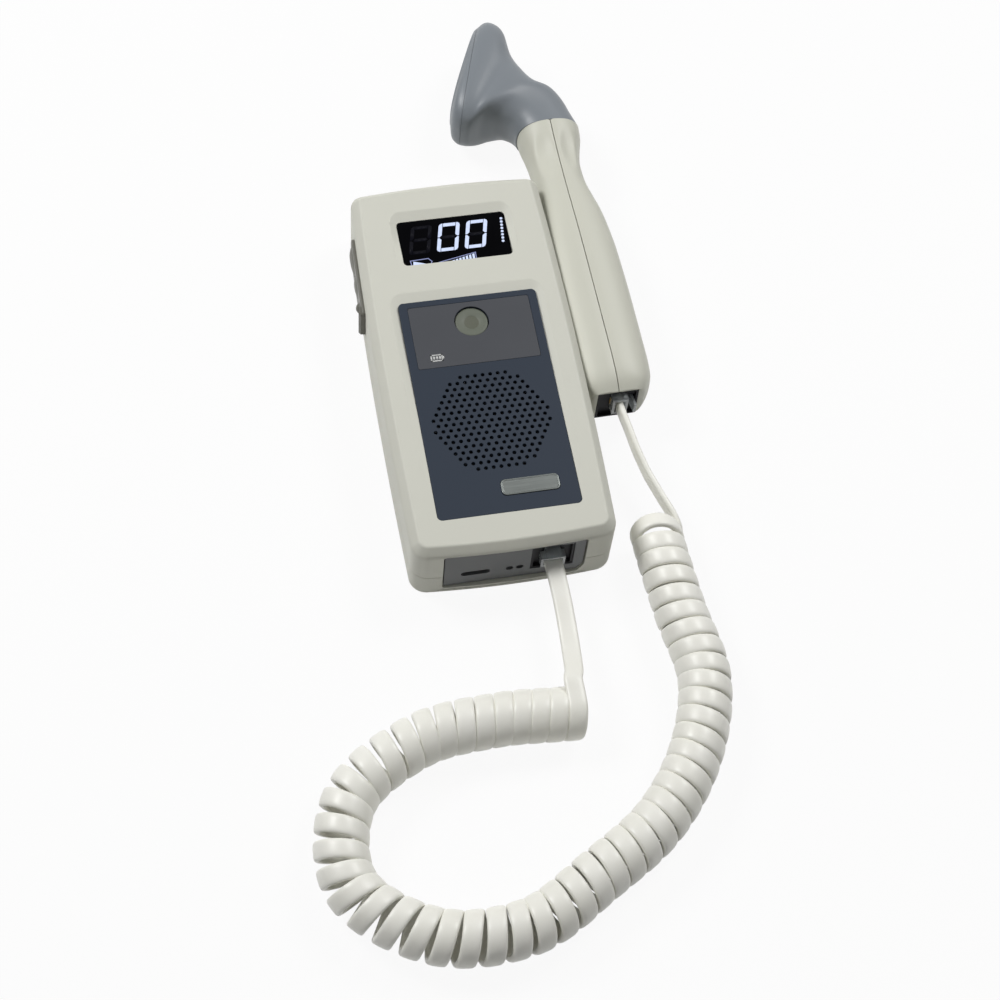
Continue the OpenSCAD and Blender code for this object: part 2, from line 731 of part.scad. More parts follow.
module base_plug() {
  color(clear, 0.6) translate([jack_x, jack_face, plug_z])
    plug_body(base_tail_route[0][1] - jack_face);
}

module base_plug_blades() {
  color(gold) translate([jack_x, jack_face, plug_z]) blade_shapes(1);
}

// The display and the panel on the face

module display_window() {
  color(black) translate([0, window_y, 0]) {
    plate(window_w - 2*clearance, window_l - 2*clearance, window_r, face_z - 0.05, case_h - window_sink);
    plate(window_w + 2*lens_flange, window_l + 2*lens_flange, window_r, face_z - lens_flange_t, face_z);
  }
}

module display_module() {
  glass_top = face_z - lens_flange_t - seat;
  glass_low = glass_top - 4.4;
  color(grey) translate([0, window_y, 0]) {
    plate(window_w + 2, window_l + 4, 1, glass_low, glass_top);
    for (s = [-1, 1])
      block([s*(window_w/2 - 2) - 1.2, -window_l/2, board_top], [s*(window_w/2 - 2) + 1.2, window_l/2, glass_low + 0.1]);
  }
}

// A hexagon of holes with its six corner holes left out
module grille_holes() {
  for (q = [-grille_rings:grille_rings], r = [-grille_rings:grille_rings])
    let (s = -q - r, far = max(abs(q), abs(r), abs(s)), near = min(abs(q), abs(r), abs(s)))
    if (far <= grille_rings && !(far == grille_rings && near == 0))
      translate([(q + r/2)*grille_pitch, r*grille_pitch*sin(60)]) circle(d = grille_hole_d, $fn = 6);
}

module speaker_panel() {
  color(slate) translate([0, 0, face_pocket_z]) difference() {
    linear_extrude(panel_t) difference() {
      translate([0, panel_y]) rounded(panel_w, panel_l, panel_r);
      translate([0, grille_y]) grille_holes();
    }
    translate([0, button_y, -1]) cylinder(d = button_hole_d, h = panel_t + 2, $fn = 48);
    translate([0, label_y, 0])
      plate(label_w + 2*clearance, label_l + 2*clearance, 0.8, panel_t - label_t, panel_t + 1);
    translate([badge_x, badge_y, 0])
      plate(badge_w + 2*clearance, badge_l + 2*clearance, 2, panel_t - badge_t/2, panel_t + 1);
  }
}

module label_plate() {
  top = face_pocket_z + panel_t;
  color(grey) difference() {
    translate([0, label_y, 0]) plate(label_w, label_l, 0.8, top - label_t, top);
    translate([0, button_y, 0]) cylinder(d = button_hole_d, h = case_h + 1, $fn = 48);
  }
}

module badge_plate() {
  top = face_pocket_z + panel_t;
  color(steel) translate([badge_x, badge_y, 0]) plate(badge_w, badge_l, 2, top - badge_t/2, top + badge_t/2);
}

module power_button() {
  rim = face_z - 0.2;
  color(button_grey) translate([0, button_y, 0]) {
    difference() {
      translate([0, 0, rim - 0.1]) cylinder(d = button_d, h = case_h - 0.5 - rim + 0.1, $fn = 48);
      translate([0, 0, case_h - 0.9]) cylinder(d = button_d*0.55, h = 1, $fn = 32);
    }
    translate([0, 0, rim - 1]) cylinder(d = button_d + 3, h = 1, $fn = 48);
    translate([0, 0, board_top + 5.7]) cylinder(d = 4.4, h = rim - board_top - 6, $fn = 24);
  }
}

module power_switch() {
  color(black) translate([0, button_y, board_top]) {
    block([-3.1, -3.1, 0], [3.1, 3.1, 3.5]);
    cylinder(d = 3.4, h = 5.7 - button_travel - 0.2, $fn = 24);
  }
}

// The speaker

module speaker_frame() {
  color(steel) translate([0, grille_y, face_z]) rotate_extrude($fn = 64)
    polygon([
      [cone_r + 0.8, 0], [speaker_r, 0], [speaker_r, -2.6], [cone_r, -3.4], [magnet_r, -8],
      [0, -8], [0, -7.2], [magnet_r - 0.4, -7.2], [cone_r - 1, -2.9], [cone_r + 0.8, -2.2]]);
}

module speaker_magnet() {
  color(black) translate([0, grille_y, magnet_bottom])
    cylinder(r = magnet_r, h = magnet_top - magnet_bottom, $fn = 48);
}

module speaker_cone() {
  color(black) translate([0, grille_y, face_z]) rotate_extrude($fn = 64)
    polygon([
      [0, -4.2], [3.5, -5], [cone_r - 2.5, -1.6], [cone_r - 1, -0.9], [cone_r + 0.3, -1.4],
      [cone_r + 0.3, -1.7], [cone_r - 1, -1.3], [cone_r - 2.5, -2], [4, -5.8], [4, -6.6], [0, -6.6]]);
}

// The side keys

module bezel_opening(gap) {
  block([-case_w, bezel_bottom + 2 - gap, bezel_z - bezel_h/2 + 1 - gap],
        [-case_w/4, bezel_top - 1 + gap, bezel_z + bezel_h/2 - 3 + gap]);
}

// A prism along x with round ends, for a key or its hole
module key_prism(span, grow) {
  r = span[2]/2 + grow;
  mid = (span[0] + span[1])/2;
  translate([-case_w, mid, bezel_z]) rotate([90, 0, 90])
    linear_extrude(case_w*0.75) rounded(span[1] - span[0] + 2*grow, 2*r, r - 0.05);
}

module key_bezel() {
  color(key_grey) difference() {
    union() {
      intersection() {
        side_band(0, bezel_proud, bezel_z - bezel_h/2, bezel_z + bezel_h/2);
        translate([-case_w, 0, bezel_z]) rotate([90, 0, 90]) linear_extrude(case_w) union() {
          translate([(bezel_bottom + bezel_top)/2, 0]) rounded(bezel_l, bezel_h, bezel_round);
          translate([bezel_bottom, -bezel_h/2]) square([bezel_l/2, bezel_h]);
        }
      }
      intersection() {
        side_band(-wall, 0.1, split_z + 0.1, case_h);
        bezel_opening(0);
      }
      translate([0, 0, bezel_z - bezel_h/2 + 0.6]) linear_extrude(bezel_h - 1.2)
        polygon([
          [-side_x(0, bezel_bottom) - 0.1, bezel_bottom], [-side_x(0, bezel_bottom) - 0.1, bezel_bottom + wedge_l],
          [-side_x(-bezel_proud, bezel_bottom) - 0.1, bezel_bottom + wedge_l],
          [-side_x(-key_proud, bezel_bottom), bezel_bottom + 1],
          [-side_x(-key_proud, bezel_bottom) + 0.8, bezel_bottom]]);
    }
    for (span = key_spans) key_prism(span, clearance);
  }
}

module side_key(span) {
  color(key_grey) {
    intersection() {
      side_band(-wall - 0.4, key_proud, 0, case_h);
      key_prism(span, 0);
    }
    intersection() {
      side_band(-wall - 0.2 - key_flange, -wall - 0.2, 0, case_h);
      key_prism(span, 0.8);
    }
    translate([0, (span[0] + span[1])/2, stem_z])
      block([-side_x(wall + 0.9, span[0]), -1.2, -1.2], [stem_tip_x, 1.2, 1.2]);
  }
}

module volume_up_key() { side_key(up_key); }
module volume_down_key() { side_key(down_key); }
module print_key() { side_key(print_key_span); }

module key_switches() {
  color(black) for (span = key_spans)
    translate([board_left, (span[0] + span[1])/2, board_top]) {
      block([0, -2.4, 0], [3, 2.4, 3]);
      translate([0.1, 0, 1.4]) rotate([0, -90, 0])
        cylinder(d = 1.8, h = board_left - stem_tip_x - key_travel - 0.2, $fn = 16);
    }
}

// The main board, its parts and its screws

module main_board() {
  color(green) difference() {
    block([board_left, board_foot, board_z], [board_right, board_head, board_top]);
    for (p = board_posts)
      translate([p[0], p[1], board_z - 1]) cylinder(d = board_screw_d + 0.4, h = board_t + 2, $fn = 24);
  }
}

module board_chips() {
  color(black) {
    translate([0, board_foot, board_top]) {
      block([-20, 28, 0], [-8, 40, 1.6]);
      block([8, 30, 0], [18, 36, 1.4]);
      block([12, 10, 0], [22, 14, 5]);
      block([-22, 8, 0], [-14, 14, 3]);
      translate([22, 24, 0]) cylinder(d = 6, h = 7, $fn = 32);
      translate([-4, 8, 0]) cylinder(d = 5, h = 6, $fn = 32);
    }
    translate([0, board_head, board_z]) {
      block([-14, -29, -1.6], [0, -15, 0]);
      block([6, -33, -1.4], [16, -23, 0]);
    }
  }
}

module board_screws() {
  color(steel) for (p = board_posts) translate([p[0], p[1], 0]) {
    translate([0, 0, board_z - 1.3]) cylinder(d = 3.8, h = 1.3, $fn = 24);
    translate([0, 0, board_z - 0.1]) cylinder(d = board_screw_d, h = board_t + 5, $fn = 24);
  }
}

module case_screws() {
  color(steel) for (p = case_screw_places) translate([p[0], p[1], 0]) {
    translate([0, 0, case_ledge_z - 2]) cylinder(d = case_screw_head_d, h = 2, $fn = 24);
    translate([0, 0, case_ledge_z - 0.1]) cylinder(d = case_screw_d, h = case_bore_top - case_ledge_z - 1, $fn = 24);
  }
}

// The battery

module battery_cells() {
  color(slate) for (k = [0:cell_count - 1])
    translate([(k - (cell_count - 1)/2)*cell_pitch, cell_y + cell_l/2, cell_z])
      rotate([90, 0, 0]) cylinder(d = cell_d, h = cell_l, $fn = 40);
}

module battery_contacts() {
  color(steel) for (s = [-1, 1]) translate([0, cell_y + s*(cell_l/2 + 0.6), 0]) {
    block([-bay_half_w + 1, s > 0 ? 0 : -0.5, door_t + 1], [bay_half_w - 1, s > 0 ? 0.5 : 0, split_z]);
    for (k = [0:cell_count - 1])
      translate([(k - (cell_count - 1)/2)*cell_pitch, s > 0 ? 0.1 : 0.6, cell_z])
        rotate([90, 0, 0]) cylinder(d = 5, h = 0.7, $fn = 24);
  }
}

// The cradle under the handle

module probe_cradle() {
  color(ivory) difference() {
    union() {
      block([cradle_root_x, cradle_low_y, 0], [cradle_end_x, cradle_high_y, cradle_pocket]);
      block([case_w/2 + 0.3, cradle_low_y, 0], [cradle_end_x, cradle_high_y, cradle_top]);
    }
    for (y = cradle_screw_ys) translate([cradle_screw_x, y, 0]) {
      translate([0, 0, -1]) cylinder(d = cradle_screw_d + 0.2, h = 4, $fn = 24);
      translate([0, 0, -1]) cylinder(d = 4.4, h = 1.7, $fn = 24);
    }
  }
}

module cradle_screws() {
  color(steel) for (y = cradle_screw_ys) translate([cradle_screw_x, y, 0]) {
    translate([0, 0, 0.1]) cylinder(d = 4.2, h = 0.6, $fn = 24);
    translate([0, 0, 0.6]) cylinder(d = cradle_screw_d, h = cradle_boss_h - 2, $fn = 24);
  }
}

// The probe

// One half of the handle, with two rails along its wall that hold the board's edge
module handle_half(side) {
  color(ivory) probe_place() difference() {
    loft([for (s = handle_stations) half_ring(s, side)]);
    difference() {
      loft([for (s = handle_stations) if (s[0] >= 18) handle_ring(s, probe_wall, 0.5)]);
      for (low = [-rail_t - probe_board_t/2 - 0.15, probe_board_t/2 + 0.15])
        block([side > 0 ? rail_in : -30, probe_board_low - 1, low],
              [side > 0 ? 30 : -rail_in, probe_board_low + probe_board_l, low + rail_t]);
    }
    block([-jack_w/2 - clearance, -1, -jack_w/2 - clearance],
          [jack_w/2 + clearance, jack_depth + 0.4, jack_w/2 + clearance]);
    block([-7, jack_depth, -6], [7, 20, 6]);
    translate([0, handle_l + 1, 0]) rotate([90, 0, 0])
      linear_extrude(spigot_l + 1) polygon(oval(end_bore[0], end_bore[1], 2.4, probe_sides, 0.5));
  }
}

module handle_inner_half() { handle_half(-1); }
module handle_outer_half() { handle_half(1); }

module probe_head() {
  color(head_grey) probe_place() {
    difference() {
      union() {
        loft([for (s = head_stations) head_ring(s, 0)]);
        translate([0, handle_l + 0.5, 0]) rotate([90, 0, 0]) linear_extrude(spigot_l)
          polygon(oval(end_bore[0] - seat, end_bore[1] - seat, 2.4, probe_sides, 0.5));
      }
      loft([for (k = [1:len(head_stations) - 2]) head_ring(head_stations[k], probe_wall, 0.5)]);
      translate([0, handle_l + 9, 0]) rotate([90, 0, 0]) linear_extrude(spigot_l + 12)
        polygon(oval(end_bore[0] - 2.5, end_bore[1] - 2.5, 2.4, probe_sides, 0.5));
      face_frame() block([-40, -cap_t, -30], [40, 30, 30]);
    }
  }
}

module face_cap() {
  color(head_grey) probe_place() difference() {
    intersection() {
      loft([for (s = head_stations) head_ring(s, 0)]);
      face_frame() block([-40, -cap_t + 0.05, -30], [40, 30, 30]);
    }
    face_frame() translate([0, -1.4, 0]) rotate([90, 0, 0])
      cylinder(r = 12, h = 30, $fn = 48);
  }
}

module crystal(side) {
  face_frame() translate([0, -1.4, 0]) rotate([90, 0, 0]) intersection() {
    cylinder(r = 11.7, h = 1.2, $fn = 48);
    block([side > 0 ? 0.2 : -20, -20, 0], [side > 0 ? 20 : -0.2, 20, 3]);
  }
}

module transmit_crystal() { color(gold) probe_place() crystal(1); }
module receive_crystal() { color(gold) probe_place() crystal(-1); }

module crystal_backing() {
  color(black) probe_place() face_frame()
    translate([0, -2.6, 0]) rotate([90, 0, 0]) cylinder(r = 10.5, h = 6, $fn = 48);
}

module probe_board() {
  color(green) probe_place()
    block([-probe_board_w/2, probe_board_low, -probe_board_t/2],
          [probe_board_w/2, probe_board_low + probe_board_l, probe_board_t/2]);
}

module probe_jack() {
  color(black) probe_place() translate([plug_offset, 0.4, 0]) rotate([0, 90, 0]) jack_body(-plug_offset, 0);
}

module probe_jack_wires() {
  color(gold) probe_place() translate([plug_offset, 0.4, 0]) rotate([0, 90, 0]) jack_wires();
}

module probe_plug() {
  color(clear, 0.6) probe_place() translate([plug_offset, 0, 0]) rotate([0, 90, 0]) plug_body(5);
}

module probe_plug_blades() {
  color(gold) probe_place() translate([plug_offset, 0, 0]) rotate([0, 90, 0]) blade_shapes(1);
}

// The cord

module probe_cord_end() {
  color(cord_ivory) probe_place() translate([plug_offset, 0, 0])
    block([-cord_t/2, -plug_out, -cord_w/2], [cord_t/2, 5, cord_w/2]);
}

module cord_tail_base() {
  spans = len(base_tail_points) - 3;
  color(cord_ivory)
    loft(tail_rings(base_tail_points, spans, [0, -1, 0], [0, -1, 0], [0, 0, 1], [0, 0, 1]));
}

module curly_cord() {
  color(cord_ivory) loft(coil_rings);
}

module cord_tail_probe() {
  spans = len(probe_tail_points) - 3;
  color(cord_ivory)
    loft(tail_rings(probe_tail_points, spans, coil_end_along, probe_point([0, 1, 0]) - probe_point([0, 0, 0]),
                    [cos(20), sin(20), 0], [cos(probe_yaw), sin(probe_yaw), 0]));
}

front_case();
rear_case();
end_panel();
display_window();
display_module();
speaker_panel();
label_plate();
badge_plate();
power_button();
power_switch();
speaker_frame();
speaker_magnet();
speaker_cone();
key_bezel();
volume_up_key();
volume_down_key();
print_key();
key_switches();
main_board();
board_chips();
board_screws();
case_screws();
battery_cells();
battery_contacts();
battery_door();
charge_socket();
charge_pins();
base_jack();
base_jack_wires();
probe_cradle();
cradle_screws();
handle_inner_half();
handle_outer_half();
probe_head();
face_cap();
transmit_crystal();
receive_crystal();
crystal_backing();
probe_board();
probe_jack();
probe_jack_wires();
base_plug();
base_plug_blades();
probe_plug();
probe_plug_blades();
probe_cord_end();
cord_tail_base();
curly_cord();
cord_tail_probe();
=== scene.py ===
import math

import bpy
import numpy as np
from mathutils import Matrix, Vector


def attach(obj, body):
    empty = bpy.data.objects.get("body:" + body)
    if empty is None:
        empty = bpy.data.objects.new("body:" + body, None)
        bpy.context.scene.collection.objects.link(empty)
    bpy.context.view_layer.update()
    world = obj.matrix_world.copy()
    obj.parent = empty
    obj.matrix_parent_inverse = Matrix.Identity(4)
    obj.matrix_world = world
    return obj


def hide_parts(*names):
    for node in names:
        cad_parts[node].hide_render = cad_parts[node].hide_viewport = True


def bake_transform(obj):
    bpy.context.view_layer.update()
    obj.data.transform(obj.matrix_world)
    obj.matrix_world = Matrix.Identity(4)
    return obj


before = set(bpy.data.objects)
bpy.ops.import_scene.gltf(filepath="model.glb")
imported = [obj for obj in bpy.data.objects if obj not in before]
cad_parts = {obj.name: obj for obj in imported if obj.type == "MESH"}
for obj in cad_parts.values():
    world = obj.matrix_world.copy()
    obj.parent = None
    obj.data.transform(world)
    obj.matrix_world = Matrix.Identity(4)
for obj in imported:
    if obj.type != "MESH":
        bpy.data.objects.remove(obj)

for spare in ("Cube", "Light", "Camera"):
    if spare in bpy.data.objects:
        bpy.data.objects.remove(bpy.data.objects[spare])
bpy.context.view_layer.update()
mm = 0.001
print("frame loaded")


# Camera

shot = {
    "lens": 76.29, "sensor": 36.0, "place": (-113.86, -443.78, 750.46),
    "azimuth": -16.34, "elevation": 61.28, "roll": 6.97,
}


def makeCamera(shot):
    # The camera looks back along a direction given by azimuth and elevation, then rolls about it
    azimuth, elevation, roll = (math.radians(shot[k]) for k in ("azimuth", "elevation", "roll"))
    flat = math.cos(elevation)
    back = Vector((math.sin(azimuth)*flat, -math.cos(azimuth)*flat, math.sin(elevation)))
    level = Vector((0, 0, 1)).cross(back).normalized()
    upright = back.cross(level)
    right = level*math.cos(roll) + upright*math.sin(roll)
    up = upright*math.cos(roll) - level*math.sin(roll)
    data = bpy.data.cameras.new("camera")
    data.lens, data.sensor_width = shot["lens"], shot["sensor"]
    camera = bpy.data.objects.new("camera", data)
    turn = Matrix((right, up, back)).transposed().to_4x4()
    camera.matrix_world = Matrix.Translation(Vector(shot["place"])*mm) @ turn
    bpy.context.collection.objects.link(camera)
    bpy.context.scene.camera = camera


makeCamera(shot)
bpy.context.scene.view_settings.view_transform = "Standard"
print("camera set")


# Mesh helpers

def makePiece(name, points, faces, sharpAngle=34):
    # Points in millimetres; faces turn smoothly except where they meet at more than the sharp angle
    mesh = bpy.data.meshes.new(name)
    mesh.from_pydata((np.asarray(points, float)*mm).tolist(), [], faces)
    mesh.validate()
    piece = bpy.data.objects.new(name, mesh)
    bpy.context.collection.objects.link(piece)
    shadeSmooth(piece, sharpAngle)
    return piece


def shadeSmooth(piece, sharpAngle):
    piece.data.shade_smooth()
    if sharpAngle:
        piece.data.set_sharp_from_angle(angle=math.radians(sharpAngle))


def skinList(rings, start=0):
    # The closed skin of a stack of rings: quads between neighbours and a flat face over each end.
    # The sign of the volume that the quads span from their middle says whether they are turned round
    rings = np.asarray(rings, float)
    count, around = rings.shape[:2]
    points = rings.reshape(-1, 3)
    i, j = np.meshgrid(np.arange(count - 1), np.arange(around), indexing="ij")
    a, b = i*around + j, i*around + (j + 1) % around
    quads = np.stack([a, b, b + around, a + around], -1).reshape(-1, 4)
    p, q, r = (points[quads[:, k]] - points.mean(0) for k in (0, 1, 3))
    faces = quads.tolist() + [list(range(around))[::-1], list(range((count - 1)*around, count*around))]
    if np.einsum("ij,ij->i", p, np.cross(q, r)).sum() < 0:
        faces = [face[::-1] for face in faces]
    return points, [[v + start for v in face] for face in faces]


def skin(name, rings, sharpAngle=34):
    return makePiece(name, *skinList(rings), sharpAngle)


def manySkins(name, stacks, sharpAngle=34):
    # Several closed skins in one mesh, each with its points counted on from the last one's
    points, faces = [], []
    for stack in stacks:
        p, f = skinList(stack, sum(len(q) for q in points))
        points.append(p)
        faces += f
    return makePiece(name, np.concatenate(points), faces, sharpAngle)


# solids that are joined into one lie over each other by this much
lap = 0.1


def carve(piece, cutters, operation="DIFFERENCE", sharpAngle=34):
    # Exact Booleans, kept as plain faces; the cutters are then removed
    for cutter in cutters:
        cut = piece.modifiers.new("cut", "BOOLEAN")
        cut.operation, cut.object, cut.solver = operation, cutter, "EXACT"
    result = bpy.data.meshes.new_from_object(piece.evaluated_get(bpy.context.evaluated_depsgraph_get()))
    piece.modifiers.clear()
    piece.data = result
    for cutter in cutters:
        bpy.data.objects.remove(cutter, do_unlink=True)
    shadeSmooth(piece, sharpAngle)
    return piece


def evenShading(piece):
    # Large flat faces keep their own normal, so that small ones beside them don't tilt it
    piece.modifiers.new("even", "WEIGHTED_NORMAL").keep_sharp = True
    return piece


def softEdges(piece, width):
    edges = piece.modifiers.new("edges", "BEVEL")
    edges.width, edges.segments = width*mm, 2
    edges.limit_method, edges.angle_limit = "ANGLE", math.radians(40)
    return piece


def put(piece, body, finish, *nodes, material=None):
    # The piece rides on a body, takes the finish of a material slot and stands for CAD nodes
    piece.data.materials.clear()
    piece.data.materials.append(finishes[finish])
    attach(piece, body)
    if nodes:
        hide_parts(*nodes)
    if material:
        piece.data.materials[0] = material
    return piece


def extrude(outline, low, high, axis="z"):
    # Two rings: the outline carried from low to high along an axis
    u, v = np.asarray(outline, float).T
    rings = []
    for level in (low, high):
        w = np.full(len(u), float(level))
        rings.append(np.stack({"x": (w, u, v), "y": (u, w, v), "z": (u, v, w)}[axis], -1))
    return np.array(rings)


def rectangle(x0, y0, x1, y1):
    return np.array([(x0, y0), (x1, y0), (x1, y1), (x0, y1)], float)


def box(low, high):
    return extrude(rectangle(low[0], low[1], high[0], high[1]), low[2], high[2])


def block(width, height, start, end):
    # A block along y whose width and height lie evenly about the axis
    return box((-width/2, start, -height/2), (width/2, end, height/2))


def circle(radius, x=0.0, y=0.0, count=48):
    a = 2*np.pi*np.arange(count)/count
    return np.stack([x + radius*np.cos(a), y + radius*np.sin(a)], -1)


def roundedRect(w, l, r, x=0.0, y=0.0, cornerSteps=8, edgeSteps=1):
    # Corner arcs joined by straight edges; gives the points and the outward direction at each
    points, normals = [], []
    corners = ((1, 1), (-1, 1), (-1, -1), (1, -1))
    for k, (sx, sy) in enumerate(corners):
        a = np.radians(90*k + np.linspace(0, 90, cornerSteps + 1))
        out = np.stack([np.cos(a), np.sin(a)], -1)
        arc = np.array([x + sx*(w/2 - r), y + sy*(l/2 - r)]) + r*out
        nx, ny = corners[(k + 1) % 4]
        after = np.array([x + nx*(w/2 - r), y + ny*(l/2 - r)]) + r*out[-1]
        t = np.arange(1, edgeSteps)[:, None]/edgeSteps
        points += [arc, arc[-1]*(1 - t) + after*t]
        normals += [out, np.repeat(out[-1:], edgeSteps - 1, 0)]
    return np.concatenate(points), np.concatenate(normals)


def unit(v):
    return v/np.linalg.norm(v, axis=-1, keepdims=True)


def roundedShape(corners, steps=6):
    # A convex outline given by its corners, anticlockwise, as x, y and radius: each corner becomes
    # the arc that touches its two edges; gives the points and the outward direction at each
    c = np.array(corners, float)
    points, normals = [], []
    for k in range(len(c)):
        here, r = c[k, :2], c[k, 2]
        a, b = unit(here - c[k - 1, :2]), unit(c[(k + 1) % len(c), :2] - here)
        turn = math.atan2(a[0]*b[1] - a[1]*b[0], a @ b)
        way = math.atan2(-a[0], a[1]) + turn*np.arange(steps + 1)/steps
        out = np.stack([np.cos(way), np.sin(way)], -1)
        points.append(here - a*r*math.tan(turn/2) - out[0]*r + out*r)
        normals.append(out)
    return np.concatenate(points), np.concatenate(normals)


def evenShape(x0, y0, x1, y1, r):
    # A rectangle between limits with the same radius at its four corners
    return roundedShape([(x0, y0, r), (x1, y0, r), (x1, y1, r), (x0, y1, r)])[0]


def shrunk(points, inset):
    # The outline scaled about its middle so that its widest places move in by the inset
    half = np.ptp(points, axis=0)/2
    middle = (points.min(0) + points.max(0))/2
    return middle + (points - middle)*(1 - inset/half)


def atHeight(outline, z):
    return np.column_stack([outline, np.full(len(outline), z)])


def steppedRings(points, normals, profile):
    # The outline moved inwards by each step's inset, at that step's height
    return np.array([atHeight(points - inset*normals, z) for inset, z in profile])


def turned(profile, x, y, count=64):
    # A profile of radius and height carried round an upright axis
    return np.array([atHeight(circle(r, x, y, count), z) for r, z in profile])


def oval(a, b, n, count, phase=0.0):
    # Superellipse: each coordinate is the half axis times the 2/n power of the cosine or sine
    t = 2*np.pi*(np.arange(count) + phase)/count
    c, s = np.cos(t), np.sin(t)
    return np.stack([a*np.sign(c)*np.abs(c)**(2/n), b*np.sign(s)*np.abs(s)**(2/n)], -1)


def curveAt(points, v):
    # Uniform Catmull-Rom: a cubic between neighbours whose slope at each comes from its own neighbours
    i = np.clip(np.floor(v).astype(int), 0, len(points) - 4)
    t = (v - i)[:, None]
    a, b, c, d = points[i], points[i + 1], points[i + 2], points[i + 3]
    return b + t*(c - a)/2 + t*t*(a - 2.5*b + 2*c - d/2) + t**3*(1.5*(b - c) + (d - a)/2)


def withEnds(points):
    # One more point beyond each end, as far off as the end's neighbour
    points = np.asarray(points, float)
    return np.concatenate([[2*points[0] - points[1]], points, [2*points[-1] - points[-2]]])


def smoothStep(t):
    t = np.clip(t, 0, 1)
    return t*t*(3 - 2*t)


# Cord: a flat tail from the base plug, about 50 curls on the table and a tail to the probe

probe = {"x": 54.2, "y": -21, "z": 17, "yaw": math.radians(1), "handle": 137}


def probePoint(p):
    # From the probe's own frame, whose origin is the middle of the handle's lower end
    p = np.asarray(p, float)
    c, s = math.cos(probe["yaw"]), math.sin(probe["yaw"])
    return np.stack([probe["x"] + p[..., 0]*c - p[..., 1]*s, probe["y"] + p[..., 0]*s + p[..., 1]*c,
                     probe["z"] + p[..., 2]], -1)


cordFacts = {
    "width": 7.3, "thickness": 2.8, "power": 3.4, "sides": 20,
    "curlRadius": 9.1, "turns": 49.62, "coilHeight": 10.55, "lean": 24, "leanStart": 48, "leanOver": 1.1,
    "coilRoute": [(9, -149), (-19, -147.5), (-49, -151.5), (-77, -170.5), (-81, -203.5), (-54, -226),
                  (-20, -228), (9, -213), (35, -196), (54, -172), (64, -143), (61, -113), (59, -83)],
    "coilBeyond": (59, -68),
    # the base tail runs on beside the first curl, at a gap and over a short straight lead
    "baseTail": [(15, -81, 16), (15, -88, 16), (15.3, -94, 15.8), (15.6, -104, 15), (15.4, -115, 14.6),
                 (14.8, -125, 15.6), (13.8, -135, 18)],
    "curlGap": 0.4, "lead": 3,
    "unwind": [(68, -78, 9), (67, -72, 11), (64.4, -65, 12), (62.2, -58.5, 12.8)], "unwindOver": 1.2,
    # the probe's tail, and its end inside the plug in the probe's own frame
    "probeTail": [(60.4, -53, 13.4), (58, -43, 15), (56.6, -34, 16.2)],
    "intoPlug": [(1, -5, 0), (0.8, -2, 0), (0.8, 5, 0)], "tailFacing": 20,
    # points along the base tail, the curls, the unwinding and the probe's tail, then the spacing of the
    # smoothed line with its running mean's reach and width, and the spacing of the finished sections
    "points": (260, 3200, 130, 200), "fine": 0.4, "meanReach": 6, "meanWidth": 2.6, "step": 1.7,
}


def curl(u, facts):
    # A helix round the coil's middle line, which the curls follow four to a span; the last ones lean
    route = np.array(facts["coilRoute"], float)
    points = np.concatenate([[2*route[0] - route[1]], route, [facts["coilBeyond"]]])

    def middle(u):
        return atHeight(curveAt(points, (u - 0.5)/4), facts["coilHeight"])

    up = np.array([0, 0, 1.0])
    heading = unit(middle(u + 0.25) - middle(u - 0.25))
    lean = np.radians(facts["lean"]*smoothStep((u - facts["leanStart"])/facts["leanOver"]))[:, None]
    upright = np.cos(lean)*up + np.sin(lean)*heading
    side = np.cross(up, heading)
    turn = (2*np.pi*u)[:, None]
    out = np.cos(turn)*upright + np.sin(turn)*side
    return middle(u) + facts["curlRadius"]*out, out


